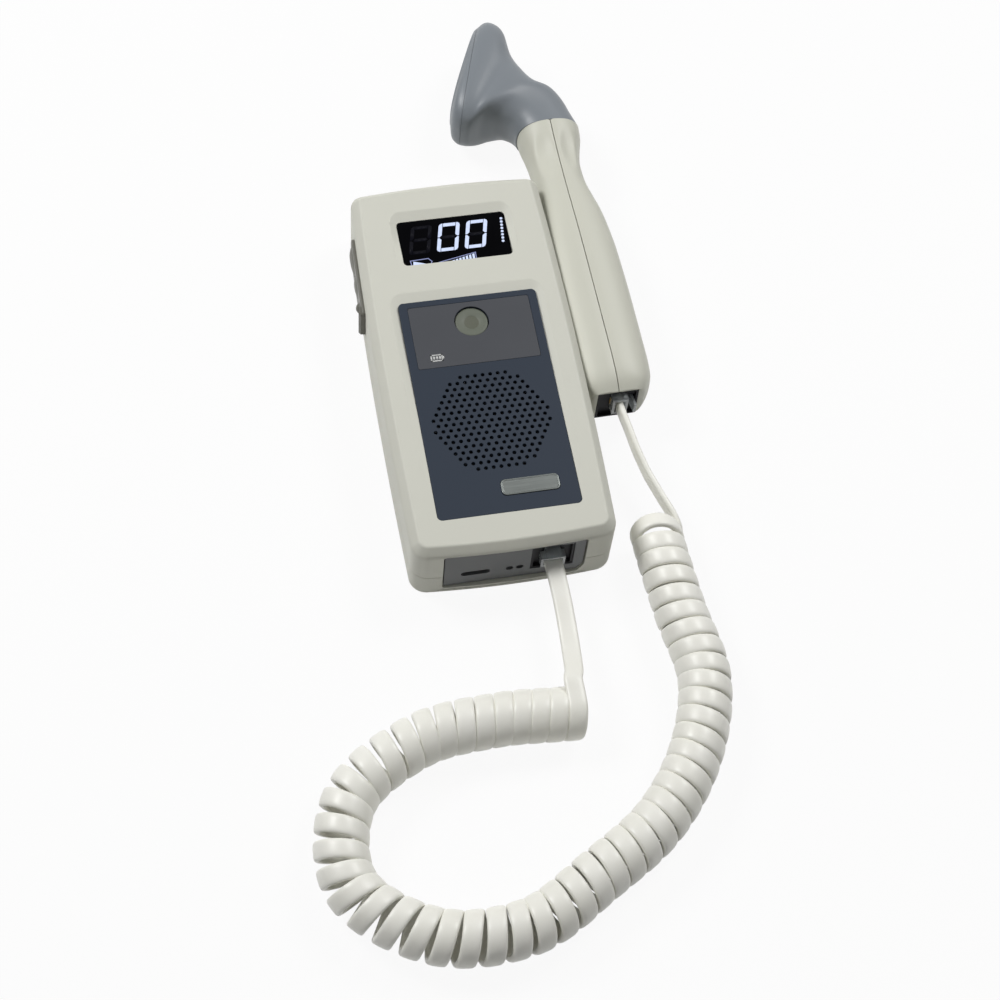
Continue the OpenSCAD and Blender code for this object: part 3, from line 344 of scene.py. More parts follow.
def cordLine(facts):
    # The cord's middle line and the outward side of its flat face, at equal steps along it
    facing = math.radians(facts["tailFacing"])
    up, right = np.array([0, 0, 1.0]), np.array([math.cos(facing), math.sin(facing), 0])
    baseCount, curlCount, unwindCount, farCount = facts["points"]
    coil, coilOut = curl(np.linspace(0, facts["turns"], curlCount), facts)
    lead = coil[0] + (0, facts["width"] + facts["curlGap"], 0)
    tail = withEnds(facts["baseTail"] + [tuple(lead + (0, facts["lead"], 0)), tuple(lead)])
    base = curveAt(tail, np.linspace(0, len(tail) - 3, baseCount))
    unwind = withEnds([tuple(coil[-1])] + facts["unwind"])
    v = np.linspace(0, len(facts["unwind"]), unwindCount)[1:]
    unwound = curveAt(unwind, v)
    k = smoothStep(v/facts["unwindOver"])[:, None]
    unwoundOut = unit(coilOut[-1]*(1 - k) + right*k)
    along = unit(unwound[-1] - unwound[-2])
    far = withEnds([tuple(unwound[-1]), tuple(unwound[-1] + 2*along)] + facts["probeTail"]
                   + [tuple(probePoint(p)) for p in facts["intoPlug"]])
    v = np.linspace(0, len(far) - 3, farCount)[1:]
    k = smoothStep(v/(len(far) - 4))[:, None]
    farOut = right*(1 - k) + np.array([math.cos(probe["yaw"]), math.sin(probe["yaw"]), 0])*k
    line = np.concatenate([base, coil[1:], unwound, curveAt(far, v)])
    out = np.concatenate([np.repeat(up[None], len(base), 0), coilOut[1:], unwoundOut, farOut])
    reach = np.concatenate([[0], np.cumsum(np.linalg.norm(np.diff(line, axis=0), axis=1))])
    fine = np.linspace(0, reach[-1], int(reach[-1]/facts["fine"]))
    both = np.column_stack([np.interp(fine, reach, c) for c in np.column_stack([line, out]).T])
    # A short running mean takes the kinks out of the joints between stretches
    n = facts["meanReach"]
    kernel = np.exp(-(np.arange(-n, n + 1)/facts["meanWidth"])**2/2)
    kernel /= kernel.sum()
    padded = np.concatenate([np.repeat(both[:1], n, 0), both, np.repeat(both[-1:], n, 0)])
    smooth = np.column_stack([np.convolve(c, kernel, "valid") for c in padded.T])
    smooth[0, :3], smooth[-1, :3] = line[0], line[-1]
    steps = np.linspace(0, reach[-1], int(reach[-1]/facts["step"]))
    return np.column_stack([np.interp(steps, fine, c) for c in smooth.T]), reach[-1]


def makeCord(facts):
    # A flat oval section, a superellipse a little fuller than an ellipse, swept along the cord's line
    both, length = cordLine(facts)
    line, out = both[:, :3], both[:, 3:]
    along = unit(np.gradient(line, axis=0))
    out = unit(out - along*np.einsum("ij,ij->i", along, out)[:, None])
    across = np.cross(along, out)
    section = oval(facts["width"]/2, facts["thickness"]/2, facts["power"], facts["sides"], 0.5)
    rings = line[:, None] + across[:, None]*section[None, :, :1] + out[:, None]*section[None, :, 1:]
    return skin("flat_curly_cord", rings, 60), line, length


cordPiece, cordMiddle, cordLength = makeCord(cordFacts)
print("cord made, length %.0f mm" % cordLength)


# Light, floor and background

studio = {
    "left": {"at": (-0.7, 0.5, 1.0), "size": 0.5, "power": 9.5},
    "right": {"at": (0.7, 0.4, 1.0), "size": 0.5, "power": 6.8},
    "aim": (0, -0.05, 0), "world": 0.16, "floorSize": 6.0, "floorGlow": 0.93, "floorShade": 0.8,
}
white = (1, 1, 1, 1)


def tint(r, g, b):
    # Screen colour, 0 to 255, as the linear colour that a shader takes
    c = np.array([r, g, b])/255
    return (*np.where(c <= 0.04045, c/12.92, ((c + 0.055)/1.055)**2.4).tolist(), 1.0)


def shade(colour, share):
    # A darker or lighter relative of a colour
    return (*(min(c*share, 1) for c in colour[:3]), 1)


class Wire:
    # One output socket of a node tree; arithmetic on wires and numbers adds Math nodes
    def __init__(self, finish, socket):
        self.finish, self.socket = finish, socket

    def math(self, operation, *values, clamp=False):
        settings = {"operation": operation, "use_clamp": clamp}
        return self.finish.wire("ShaderNodeMath", settings, dict(enumerate(values)))

    def __add__(self, other):
        return self.math("ADD", self, other)

    def __radd__(self, other):
        return self.math("ADD", other, self)

    def __sub__(self, other):
        return self.math("SUBTRACT", self, other)

    def __rsub__(self, other):
        return self.math("SUBTRACT", other, self)

    def __mul__(self, other):
        return self.math("MULTIPLY", self, other)

    def __rmul__(self, other):
        return self.math("MULTIPLY", other, self)

    def clamped(self):
        return self.math("ADD", self, 0.0, clamp=True)

    def above(self, edge):
        return self.math("GREATER_THAN", self, edge)


class Finish:
    # A material, and the one way in which its nodes are added
    def __init__(self, name, tree=None):
        if tree is None:
            self.material = bpy.data.materials.new(name)
            self.material.use_nodes = True
            tree = self.material.node_tree
        self.tree = tree
        self.tree.nodes.clear()

    def add(self, kind, settings=None, sockets=None):
        node = self.tree.nodes.new(kind)
        for key, value in (settings or {}).items():
            setattr(node, key, value)
        for key, value in (sockets or {}).items():
            if isinstance(value, Wire):
                self.tree.links.new(value.socket, node.inputs[key])
            else:
                node.inputs[key].default_value = value
        return node

    def wire(self, kind, settings=None, sockets=None, output=0):
        return Wire(self, self.add(kind, settings, sockets).outputs[output])

    def mix(self, factor, first, second):
        # Colours mixed by a factor
        return self.wire("ShaderNodeMix", {"data_type": "RGBA"}, {0: factor, 6: first, 7: second}, 2)

    def place(self, scale=(1, 1, 1), shift=(0, 0, 0)):
        # The piece's own coordinates, which are the part's
        own = self.wire("ShaderNodeTexCoord", output="Object")
        return self.wire("ShaderNodeMapping", {}, {"Vector": own, "Scale": scale, "Location": shift})

    def noise(self, scale, detail=2.0, roughness=0.5, place=None):
        sockets = {"Scale": scale, "Detail": detail, "Roughness": roughness, "Vector": place or self.place()}
        return self.wire("ShaderNodeTexNoise", {}, sockets)

    def specks(self, scale):
        # Distance to the nearest of many scattered points
        return self.wire("ShaderNodeTexVoronoi", {"feature": "F1"}, {"Scale": scale, "Vector": self.place()})

    def bump(self, height, distance):
        # Distance is in millimetres for a height from 0 to 1
        return self.wire("ShaderNodeBump", {}, {"Height": height, "Distance": distance*mm})

    def seen(self):
        # 1 for the camera's rays and for those that metal and glass send on
        rays = self.add("ShaderNodeLightPath").outputs
        names = ("Is Camera Ray", "Is Glossy Ray", "Is Transmission Ray")
        camera, glossy, through = (Wire(self, rays[name]) for name in names)
        return (camera + glossy + through).clamped()

    def surface(self, **sockets):
        # The closing shader; underscores stand for the spaces of socket names
        sockets = {k.replace("_", " "): v for k, v in sockets.items()}
        return self.shown(self.wire("ShaderNodeBsdfPrincipled", {}, sockets))

    def shown(self, shader):
        self.add("ShaderNodeOutputMaterial", {}, {"Surface": shader})
        return self.material


def makeStudio(studio):
    for name in ("left", "right"):
        facts = studio[name]
        data = bpy.data.lights.new(name, "AREA")
        data.shape, data.size, data.energy = "DISK", facts["size"], facts["power"]
        lamp = bpy.data.objects.new(name, data)
        lamp.location = facts["at"]
        lamp.rotation_euler = (Vector(studio["aim"]) - lamp.location).to_track_quat("-Z", "Y").to_euler()
        bpy.context.collection.objects.link(lamp)
    world = bpy.data.worlds.new("studio")
    world.use_nodes = True
    bpy.context.scene.world = world
    sky = Finish("sky", world.node_tree)
    strength = sky.seen()*(1 - studio["world"]) + studio["world"]
    glow = sky.wire("ShaderNodeBackground", {}, {"Color": white, "Strength": strength})
    sky.add("ShaderNodeOutputWorld", {}, {"Surface": glow})
    half = studio["floorSize"]/mm/2
    floor = makePiece("floor", [(x, y, 0) for x, y in rectangle(-half, -half, half, half)], [[0, 1, 2, 3]])
    paper = Finish("white_table")
    matt = paper.wire("ShaderNodeBsdfDiffuse", {}, {"Color": (*[studio["floorShade"]]*3, 1)})
    glow = paper.wire("ShaderNodeEmission", {}, {"Color": white, "Strength": 1.0})
    both = paper.wire("ShaderNodeMixShader", {}, {0: paper.seen()*studio["floorGlow"], 1: matt, 2: glow})
    floor.data.materials.append(paper.shown(both))


makeStudio(studio)
print("studio ready")


# Finishes

def moulded(name, colour, roughness=0.42, grain=0.012, grainScale=2600, mottle=0.035, shadeSpot=None, **constants):
    # Moulded plastic: a spark-eroded grain a third of a millimetre wide, soft flow clouds in the
    # colour and the gloss, and sparse darker specks; a shade spot is painted shade, a round darker place on
    # the face
    f = Finish(name)
    clouds, fine, waves = f.noise(38, 3, 0.55), f.noise(grainScale, 2, 0.6), f.noise(240)
    patches = ((clouds - 0.5)*mottle*12 + 0.5).clamped()
    base = f.mix(patches, shade(colour, 0.93), shade(colour, 1.03))
    base = f.mix(((0.09 - f.specks(420))*6).clamped()*0.25, base, shade(colour, 0.86))
    if shadeSpot:
        x, y, radius, shadeColour = shadeSpot
        flat = f.place(scale=(1, 1, 0), shift=(-x*mm, -y*mm, 0))
        away = f.wire("ShaderNodeVectorMath", {"operation": "LENGTH"}, {0: flat}, 1)
        # painted shade: the colour turns darker inside the round spot
        base = f.mix(((radius*mm - away)*4000 + 0.5).clamped(), base, shadeColour)
    shine = (fine - 0.5)*0.14 + (clouds - 0.5)*0.16 + roughness
    relief = f.bump(fine*0.75 + waves*0.6, grain)
    return f.surface(Base_Color=base, Roughness=shine, Normal=relief, **constants)


def brushedMetal(name, colour, roughness, across="x"):
    # Metal with fine brushing lines along x or y, and clouds between them
    f = Finish(name)
    lines = f.noise(1.0, 3, 0.6, f.place((60, 4200, 900) if across == "x" else (4200, 60, 900)))
    base = f.mix((lines*0.9 + f.noise(150)*0.35 - 0.15).clamped(), shade(colour, 0.6), colour)
    shine = (lines - 0.5)*0.3 + roughness
    return f.surface(Base_Color=base, Roughness=shine, Metallic=1.0, Normal=f.bump(lines, 0.006))


def displayGlass(name):
    # Black glass over the display, with dust specks and a whisper of smears
    f = Finish(name)
    smear = f.noise(90, 3, 0.6)
    base = f.mix((smear*0.8).clamped(), tint(3, 3, 5), tint(6, 6, 9))
    base = f.mix(((0.05 - f.specks(900))*30).clamped()*0.15, base, tint(90, 92, 98))
    return f.surface(Base_Color=base, Roughness=smear*0.1 + 0.08, Normal=f.bump(smear, 0.004),
                     Specular_IOR_Level=0.02)


def glowing(name, colour, strength):
    # Display marks that glow, a little unevenly
    f = Finish(name)
    light = f.mix(f.noise(700, 1), shade(colour, 0.78), colour)
    return f.surface(Base_Color=tint(7, 7, 10), Roughness=0.4, Specular_IOR_Level=0.05,
                     Emission_Color=light, Emission_Strength=strength)


def clearPlug(name):
    # Clear polycarbonate with faint flow lines
    f = Finish(name)
    flow = f.noise(1.0, place=f.place((900, 160, 900)))
    base = f.mix(flow, tint(196, 202, 204), tint(228, 232, 233))
    return f.surface(Base_Color=base, Roughness=flow*0.1 + 0.06, Transmission_Weight=0.55, IOR=1.56,
                     Normal=f.bump(flow, 0.02))


def circuitBoard(name):
    # Green solder mask over copper runs, on a grid of about one by two millimetres
    f = Finish(name)
    sockets = {"Scale": 260.0, "Mortar Size": 0.03, "Vector": f.place()}
    runs = f.wire("ShaderNodeTexBrick", {"offset": 0.35}, sockets, 1)
    fibre = f.noise(1500)
    base = f.mix(runs, tint(22, 84, 48), tint(44, 118, 66))
    base = f.mix(fibre*0.3, base, tint(16, 60, 36))
    return f.surface(Base_Color=base, Roughness=fibre*0.2 + 0.25, Normal=f.bump(runs + fibre*0.2, 0.03))


def cellSleeve(name):
    # Printed shrink sleeve: a dark body, an amber band near the top of each cell and fine wrinkles
    f = Finish(name)
    y = f.wire("ShaderNodeSeparateXYZ", {}, {"Vector": f.place()}, 1)
    wrinkle = f.noise(1.0, 3, 0.6, f.place((900, 120, 900)))
    base = f.mix((y + 0.0275).above(0), tint(38, 62, 92), tint(176, 132, 62))
    base = f.mix(wrinkle*0.25, base, tint(20, 22, 26))
    return f.surface(Base_Color=base, Roughness=wrinkle*0.2 + 0.25, Normal=f.bump(wrinkle, 0.03))


def paperCone(name):
    # Pressed paper cone, felted with short fibres
    f = Finish(name)
    felt = f.noise(1800, 4, 0.7)
    base = f.mix(felt, tint(16, 16, 18), tint(46, 46, 50))
    return f.surface(Base_Color=base, Roughness=felt*0.2 + 0.75, Normal=f.bump(felt, 0.05))


def cordJacket(name):
    # Extruded flat jacket: a fine grain, soft clouds and faint handling marks
    f = Finish(name)
    grain, clouds = f.noise(2200, 2, 0.6), f.noise(55, 3, 0.55)
    base = f.mix(((clouds - 0.5)*1.6 + 0.5).clamped(), tint(242, 241, 231), tint(249, 248, 241))
    base = f.mix((grain - 0.3).clamped()*0.2, base, tint(220, 219, 208))
    shine = (clouds - 0.5)*0.2 + (grain - 0.5)*0.1 + 0.36
    return f.surface(Base_Color=base, Roughness=shine, Normal=f.bump(grain*0.6 + clouds, 0.01))


# x, y, radius and colour of the painted shade in the button's sunk middle
buttonShadeSpot = (0, 16.3, 3.1, tint(76, 79, 65))
finishes = {
    "case_plastic": moulded("case_ivory", tint(211, 211, 200), 0.56, Specular_IOR_Level=0.4),
    "foot_plastic": moulded("foot_grey", tint(96, 98, 98), 0.45, 0.014, 2200, Specular_IOR_Level=0.3),
    "window": displayGlass("display_glass"),
    "inner_plastic": moulded("inner_grey", tint(120, 122, 122), 0.5),
    "slate_plastic": moulded("slate_panel", tint(38, 47, 60), 0.48, 0.016, 2300, 0.02,
                             Specular_IOR_Level=0.22),
    "label": moulded("label_film", tint(70, 72, 77), 0.4, 0.006, 3200, 0.02, Specular_IOR_Level=0.25),
    "badge_metal": brushedMetal("badge_metal", tint(113, 117, 115), 0.36),
    "key_plastic": moulded("key_grey", tint(101, 100, 91), 0.4, 0.014, 2000, Specular_IOR_Level=0.5),
    "key_rubber": moulded("button_olive", tint(91, 96, 84), 0.55, 0.01, 2400, 0.05, buttonShadeSpot),
    "black_plastic": moulded("black_plastic", tint(18, 18, 20), 0.5, 0.01, 2400, Specular_IOR_Level=0.12),
    "steel": brushedMetal("steel", tint(196, 198, 202), 0.3),
    "magnet": moulded("magnet_black", tint(30, 30, 32), 0.4, 0.01, 1400),
    "speaker_fabric": paperCone("speaker_cone"),
    "board": circuitBoard("circuit_board"),
    "cell_sleeve": cellSleeve("cell_sleeve"),
    "contact_gold": brushedMetal("contact_gold", tint(226, 186, 102), 0.25, "y"),
    "probe_plastic": moulded("probe_ivory", tint(206, 206, 193), 0.48),
    "head_plastic": moulded("head_grey", tint(121, 127, 133), 0.4, 0.006, 2800, 0.03),
    "backing_rubber": moulded("backing_black", tint(34, 33, 33), 0.7, 0.02, 1500),
    "clear_plastic": clearPlug("clear_plastic"),
    "cord_rubber": cordJacket("cord_jacket"),
}
litGlow = glowing("display_light", tint(214, 226, 255), 1.15)
dimGlow = glowing("display_dim", tint(150, 158, 204), 1.1)
ghostGlow = glowing("display_ghost", tint(12, 13, 30), 0.3)
pinSteel = brushedMetal("pin_steel", tint(74, 74, 76), 0.4)
signWhite = moulded("sign_white", tint(205, 206, 204), 0.5, 0.004, 3000)
print("finishes ready")


# Clear plugs on the cord's two ends. In a plug's own frame x lies across the cord, y points into the
# jack and z to the latch

plug = {
    "width": 9.65, "height": 6.5, "out": 2, "in": 11.5, "edge": 0.16,
    # width, height and inner end of the cord's channel, and of its wider mouth
    "channel": (6.9, 3.3, 5.0), "mouth": (7.7, 4.3, -1.1),
    "blades": 4, "bladePitch": 1.02, "bladeSlot": 0.42, "slotReach": (7, 10.6), "slotDepth": 3.1,
    # half width, reach and depth of the window over the cord's clamp
    "window": (2.3, (1.2, 3.4), 1.1),
    # the latch seen from the side, as y and z
    "latchWidth": 6,
    "latch": [(11.5, 2.75), (11.5, 4.05), (10, 4.65), (-3.6, 6.45), (-3.6, 5.45), (8.5, 3.65), (8.1, 2.75)],
}
baseJack = {"x": 15, "y": -85.6, "z": 16, "low": (-8.4, -6.6), "high": (8.4, 10.2)}
probeJack = {"offset": 0.8, "low": (-8.4, -9.2), "high": (9.5, 7.6)}


def basePlace(p):
    return np.asarray(p, float) + (baseJack["x"], baseJack["y"], baseJack["z"])


def probePlace(p):
    # The probe's plug lies on its side: its latch points to the outer side
    p = np.asarray(p, float)
    return probePoint(np.stack([p[..., 2] + probeJack["offset"], p[..., 1], -p[..., 0]], -1))


def makePlug(name, place):
    # A block with the cord's way, the blades' slots and the clamp's window cut out, joined to its latch
    h, front, half = plug["height"]/2, -plug["out"] - 1, plug["bladeSlot"]/2
    body = skin(name, place(block(plug["width"], plug["height"], -plug["out"], plug["in"])))
    first, last = plug["slotReach"]
    slots = [box((x - half, first, -h - 1), (x + half, last, -h + plug["slotDepth"]))
             for x in plug["bladePitch"]*(np.arange(plug["blades"]) - (plug["blades"] - 1)/2)]
    wide, (near, far), depth = plug["window"]
    ways = {k: block(*plug[k][:2], front, plug[k][2]) for k in ("channel", "mouth")}
    carve(body, [skin(k, place(way)) for k, way in ways.items()] + [
        manySkins("slots", [place(s) for s in slots]),
        skin("window", place(box((-wide, near, h - depth), (wide, far, h + 1))))])
    latch = skin("latch", place(extrude(plug["latch"], -plug["latchWidth"]/2, plug["latchWidth"]/2, "x")))
    return softEdges(carve(body, [latch], "UNION"), plug["edge"])


basePlug = put(makePlug("clear_plug_base", basePlace), "case", "clear_plastic", "base_plug")
probePlug = put(makePlug("clear_plug_probe", probePlace), "probe", "clear_plastic", "probe_plug")
print("plugs made")

cordPiece.data.materials.append(finishes["cord_rubber"])
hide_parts("cord_tail_base", "curly_cord", "cord_tail_probe", "probe_cord_end")
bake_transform(cordPiece)
round(cordLength/1000, 2)
(cordMiddle*mm).tolist()


# Case shells

case = {
    "width": 83, "length": 175, "height": 33, "wall": 2.4,
    # how far the ends and the sides bow, and the corner radii, at the foot half and at the top half
    "endBow": 2, "sideBow": 1.3, "topBow": 2.0, "corner": 7, "topCorner": 5,
    # inset and height of the outside, from the parting line up over the soft bevel
    "frontEdge": [(0.7, 13.0), (0.18, 13.16), (0.0, 13.45), (0.0, 20.0), (0.0, 27.4), (0.02, 28.0),
                  (0.08, 28.6), (0.2, 29.2), (0.42, 29.76), (0.78, 30.28), (1.7, 31.24), (2.95, 32.5),
                  (3.26, 32.76), (3.62, 32.94), (4.1, 33.0)],
    "rearEdge": [(1.3, 0.0), (0.8, 0.07), (0.4, 0.26), (0.14, 0.6), (0.02, 1.05), (0.0, 1.6), (0.0, 8.0),
                 (0.0, 12.55), (0.18, 12.84), (0.7, 13.0)],
    # the same for the hollow inside, with the inset counted from the wall's inner face
    "frontHollow": [(0, 12.0), (0, 28.6), (1.6, 30.1), (2.2, 30.6)],
    "rearHollow": [(0.8, 2.4), (0, 3.2), (0, 14.0)],
    # width, length, corner radius and middle of the two openings in the face, the top of the display's
    # glass, and the play and floor of the pocket that the panel lies in
    "window": (45.6, 23.0, 1.9, 57.9), "panel": (56.8, 100.6, 2.0, -21.8), "lens": 31.35,
    "pocketGap": 0.3, "pocketLow": 31.5,
    # their sunk surrounds: reach at the sides and the ends, depth, the cutter's low end, and between which
    # two places they fade in
    "windowDish": {"side": 2.9, "end": 4.6, "depth": 1.6, "low": 25.0, "fade": (47.5, 66)},
    "panelDish": {"side": 3.4, "end": 5.2, "depth": 1.3, "low": 31.6, "fade": (-62, 20)},
    # width and middle of the button's hole, radius and middle of the speaker's
    "button": (14.1, 16.3), "grille": (24.4, -30.6),
    # corners of the side keys' opening, as y, z and radius
    "keyOpening": [(31.35, 11.85, 0.3), (68.35, 11.85, 2.75), (68.35, 24.15, 0.3), (31.35, 24.15, 0.3)],
    # reach of that opening's cutter, then play round the foot's panel and reach of its cutter
    "keyCut": (-60, -20.75), "footGap": 0.55, "footCut": (-100, -80),
    # the shells' screws, the display board's pillars and the cradle's screws
    "screws": [(29, 78), (-29, 78), (35, -77), (-35, -77)],
    "posts": [(-28.5, 3), (28, 3), (-28.5, 69), (28, 69)],
    "cradleScrews": [(32.2, 20), (32.2, 50)], "cradlePocket": ((27.85, 11.85, -1), (41.5, 58.15, 1.4)),
    # radius, low end and high end of bosses, and of bores with their number of sides
    "frontBoss": (3.5, 0, 40), "pillar": (2.5, 21.6, 40), "rearBoss": (3.5, 0, 20), "cradleBoss": (3, 0, 8),
    "screwBore": (1.25, 0, 23, 24), "pillarBore": (1.05, 0, 27.6, 24), "screwHead": (2.7, -1, 5, 32),
    "screwWay": (1.4, 4, 14, 24), "cradleBore": (1.15, 0, 7, 24),
    # cutters through the face run between these heights
    "faceCut": (20, 40),
}
# the hollow that takes the handle: a superellipse along the probe, and the wall round it
nest = {"halfWidth": 17, "halfHeight": 14.2, "power": 2.6, "around": 72, "reach": (-4.0, 175.0), "wall": 2.2}
# the walls round the cells: inner length and half width, thickness, low ends of side and cross walls, top
tray = {"low": -67.6, "high": -15.4, "half": 29.2, "wall": 1.5, "sideLow": 1.9, "crossLow": 2.6, "top": 13}
door = {
    "half": 28.9, "end": -10.0, "gap": 0.15, "thickness": 2.2, "holeTop": 2.6,
    # its cutters start beyond the case's foot and under its back
    "cutFrom": (-100, -1),
    # half width, foot end, underside and top of the tongues, and their play in the case's grooves
    "tongue": (29.8, -79.5, 0.85, 1.45), "tongueGap": 0.1,
    "ridges": 6, "ridgeWidth": 24, "ridgeNarrows": 2.4, "ridgeLength": 1.1, "ridgeStart": -62,
    "ridgeStep": 2.6, "ridgeDepth": 0.45, "arrow": [(-5, -50), (5, -50), (0, -55)], "arrowDepth": 0.35,
}


def caseOutline(inset, facts=case, sideSteps=12, cornerSteps=16, endSteps=10):
    # Sides and ends are shallow parabolas; a quarter ellipse joins them at each corner
    halfW, halfL = facts["width"]/2 - inset, facts["length"]/2 - inset

    def end(x):
        return halfL - facts["endBow"]*(2*x/facts["width"])**2

    def half(corner, bow):
        def side(y):
            return halfW - bow*(2*y/facts["length"])**2
        r = max(corner - inset, 1.5)
        cx = halfW - bow - r
        cy = end(cx) - r
        y = cy*np.arange(sideSteps)/sideSteps
        a = np.radians(np.linspace(2, 87, cornerSteps))
        x = cx*np.arange(endSteps - 1, 0, -1)/endSteps
        quarter = np.concatenate([
            np.column_stack([side(y), y]),
            np.column_stack([cx + (side(cy) - cx)*np.cos(a), cy + r*np.sin(a)]),
            np.column_stack([x, end(x)])])
        return np.concatenate([quarter, [(0, end(0))], quarter[:0:-1]*(-1, 1)])
    top = half(facts["topCorner"], facts["topBow"])
    return np.concatenate([top, -half(facts["corner"], facts["sideBow"])])


def caseStack(profile, inset=0):
    # The case's outline at each step of a profile
    return np.array([atHeight(caseOutline(inset + step), z) for step, z in profile])


def dishStack(place, dish):
    # A cutter whose underside falls evenly from a ridge to the opening; it fades out towards the foot
    w, l, r, y = place
    points, normals = roundedRect(w, l, r, 0, y, 10, 16)
    reach = np.array([dish["side"], dish["end"]])
    low, high = dish["fade"]
    rings = [atHeight(points - normals, dish["low"])]
    for t in np.concatenate([[-0.25], np.linspace(0, 1, 9), [1.12]]):
        ring = points + normals*reach*t
        fade = smoothStep((ring[:, 1] - low)/(high - low))
        fall = 1 - np.clip(t, 0, 1)
        rise = 0.012 + 0.05*max(t - 1, 0)/0.12
        rings.append(np.column_stack([ring, case["height"] + rise - dish["depth"]*fall*fade]))
    rings.append(rings[-1] + (0, 0, 4))
    return rings


def nestCut(name, extra=0.0):
    # The long hollow in the case's right side that takes the handle
    count, (low, high) = nest["around"], nest["reach"]
    across = oval(nest["halfWidth"] + extra, nest["halfHeight"] + extra, nest["power"], count)
    ends = [np.column_stack([across[:, 0], np.full(count, y), across[:, 1]]) for y in (low - extra, high)]
    return skin(name, [probePoint(end) for end in ends])


def posts(name, places, radius, low, high, count=32):
    return manySkins(name, [extrude(circle(radius, x, y, count), low, high) for x, y in places])


def faceCut(name, outline, low=case["faceCut"][0]):
    # A cutter that runs up through the face
    return skin(name, extrude(outline, low, case["faceCut"][1]))


def buttonHole():
    width, y = case["button"]
    return faceCut("buttonHole", circle(width/2, 0, y))


footPanel = {
    # corners as seen from the foot: x, z and radius
    "corners": [(-27.75, 4.4, 0.6), (25.4, 4.4, 0.8), (27.75, 8.4, 0.8), (27.75, 28.6, 0.5),
                (-27.75, 28.6, 0.5)],
    "face": -86, "back": -83.7, "edge": [(0, 0.14), (0.05, 0.04), (0.16, 0)],
    "flange": ((-30, -84.0, 4.6), (30, -83.0, 28.2)),
    # middle and size of the jack's hole, then middle, width and height of the charge slot
    "jack": (15, 17.8, 16.8), "jackGap": 0.15, "slot": (-15.3, 12.4, 11.6, 3.2), "depth": 9,
    "pins": (-1.8, 2.3), "pinHole": 3.0, "pin": 2.3, "pinSink": 0.7, "pinHead": (1.8, -82.0, -82.9),
}


def footOpening():
    points, normals = roundedShape(footPanel["corners"])
    return skin("footOpening", extrude(points + case["footGap"]*normals, *case["footCut"], "y"))


def makeFrontCase():
    shell = skin("case_front_shell", caseStack(case["frontEdge"]))
    cavity = skin("cavity", caseStack(case["frontHollow"], case["wall"]))
    carve(cavity, [nestCut("nestOuter", nest["wall"]), posts("bosses", case["screws"], *case["frontBoss"]),
                   posts("pillars", case["posts"], *case["pillar"])])
    w, l, r, y = case["window"]
    pw, pl, pr, py = case["panel"]
    gap = case["pocketGap"]
    radius, grilleY = case["grille"]
    cutters = [
        cavity, nestCut("nest"),
        skin("windowDish", dishStack(case["window"], case["windowDish"])),
        faceCut("window", roundedRect(w, l, r, 0, y)[0]),
        skin("panelDish", dishStack(case["panel"], case["panelDish"])),
        faceCut("pocket", roundedRect(pw + gap, pl + gap, pr + gap/2, 0, py)[0], case["pocketLow"]),
        faceCut("speakerHole", circle(radius, 0, grilleY, 64)), buttonHole(),
        posts("screwBores", case["screws"], *case["screwBore"]),
        posts("pillarBores", case["posts"], *case["pillarBore"]),
        skin("keyOpening", extrude(roundedShape(case["keyOpening"])[0], *case["keyCut"], "x")),
        footOpening(),
    ]
    return evenShading(carve(shell, cutters))


def makeRearCase():
    shell = skin("case_rear_shell", caseStack(case["rearEdge"]))
    cavity = skin("cavity", caseStack(case["rearHollow"], case["wall"]))
    carve(cavity, [nestCut("nestOuter", nest["wall"]), posts("bosses", case["screws"], *case["rearBoss"]),
                   posts("cradleBosses", case["cradleScrews"], *case["cradleBoss"])])
    carve(shell, [cavity])
    low, high, half, wall, side, cross, top = (tray[k] for k in (
        "low", "high", "half", "wall", "sideLow", "crossLow", "top"))
    ribs = [box((half, low - wall, side), (half + wall, high + wall, top)),
            box((-half - wall, low - wall, side), (-half, high + wall, top)),
            box((-half - lap, low - wall, cross), (half + lap, low, top)),
            box((-half - lap, high, cross), (half + lap, high + wall, top))]
    carve(shell, [skin("rib", rib) for rib in ribs], "UNION")
    gap, (out, _, tongueLow, tongueTop) = door["gap"], door["tongue"]
    hole, groove, end = door["half"] + gap, out + gap, door["end"] + gap
    beyond, under = door["cutFrom"]
    cutters = [
        nestCut("nest"),
        posts("screwHeads", case["screws"], *case["screwHead"]),
        posts("screwWays", case["screws"], *case["screwWay"]),
        skin("cradlePocket", box(*case["cradlePocket"])),
        posts("cradleBores", case["cradleScrews"], *case["cradleBore"]),
        skin("doorHole", box((-hole, beyond, under), (hole, end, door["holeTop"]))),
        skin("doorGrooves", box((-groove, beyond, tongueLow - door["tongueGap"]),
                                (groove, end, tongueTop + door["tongueGap"]))),
        footOpening(),
    ]
    return evenShading(carve(shell, cutters))


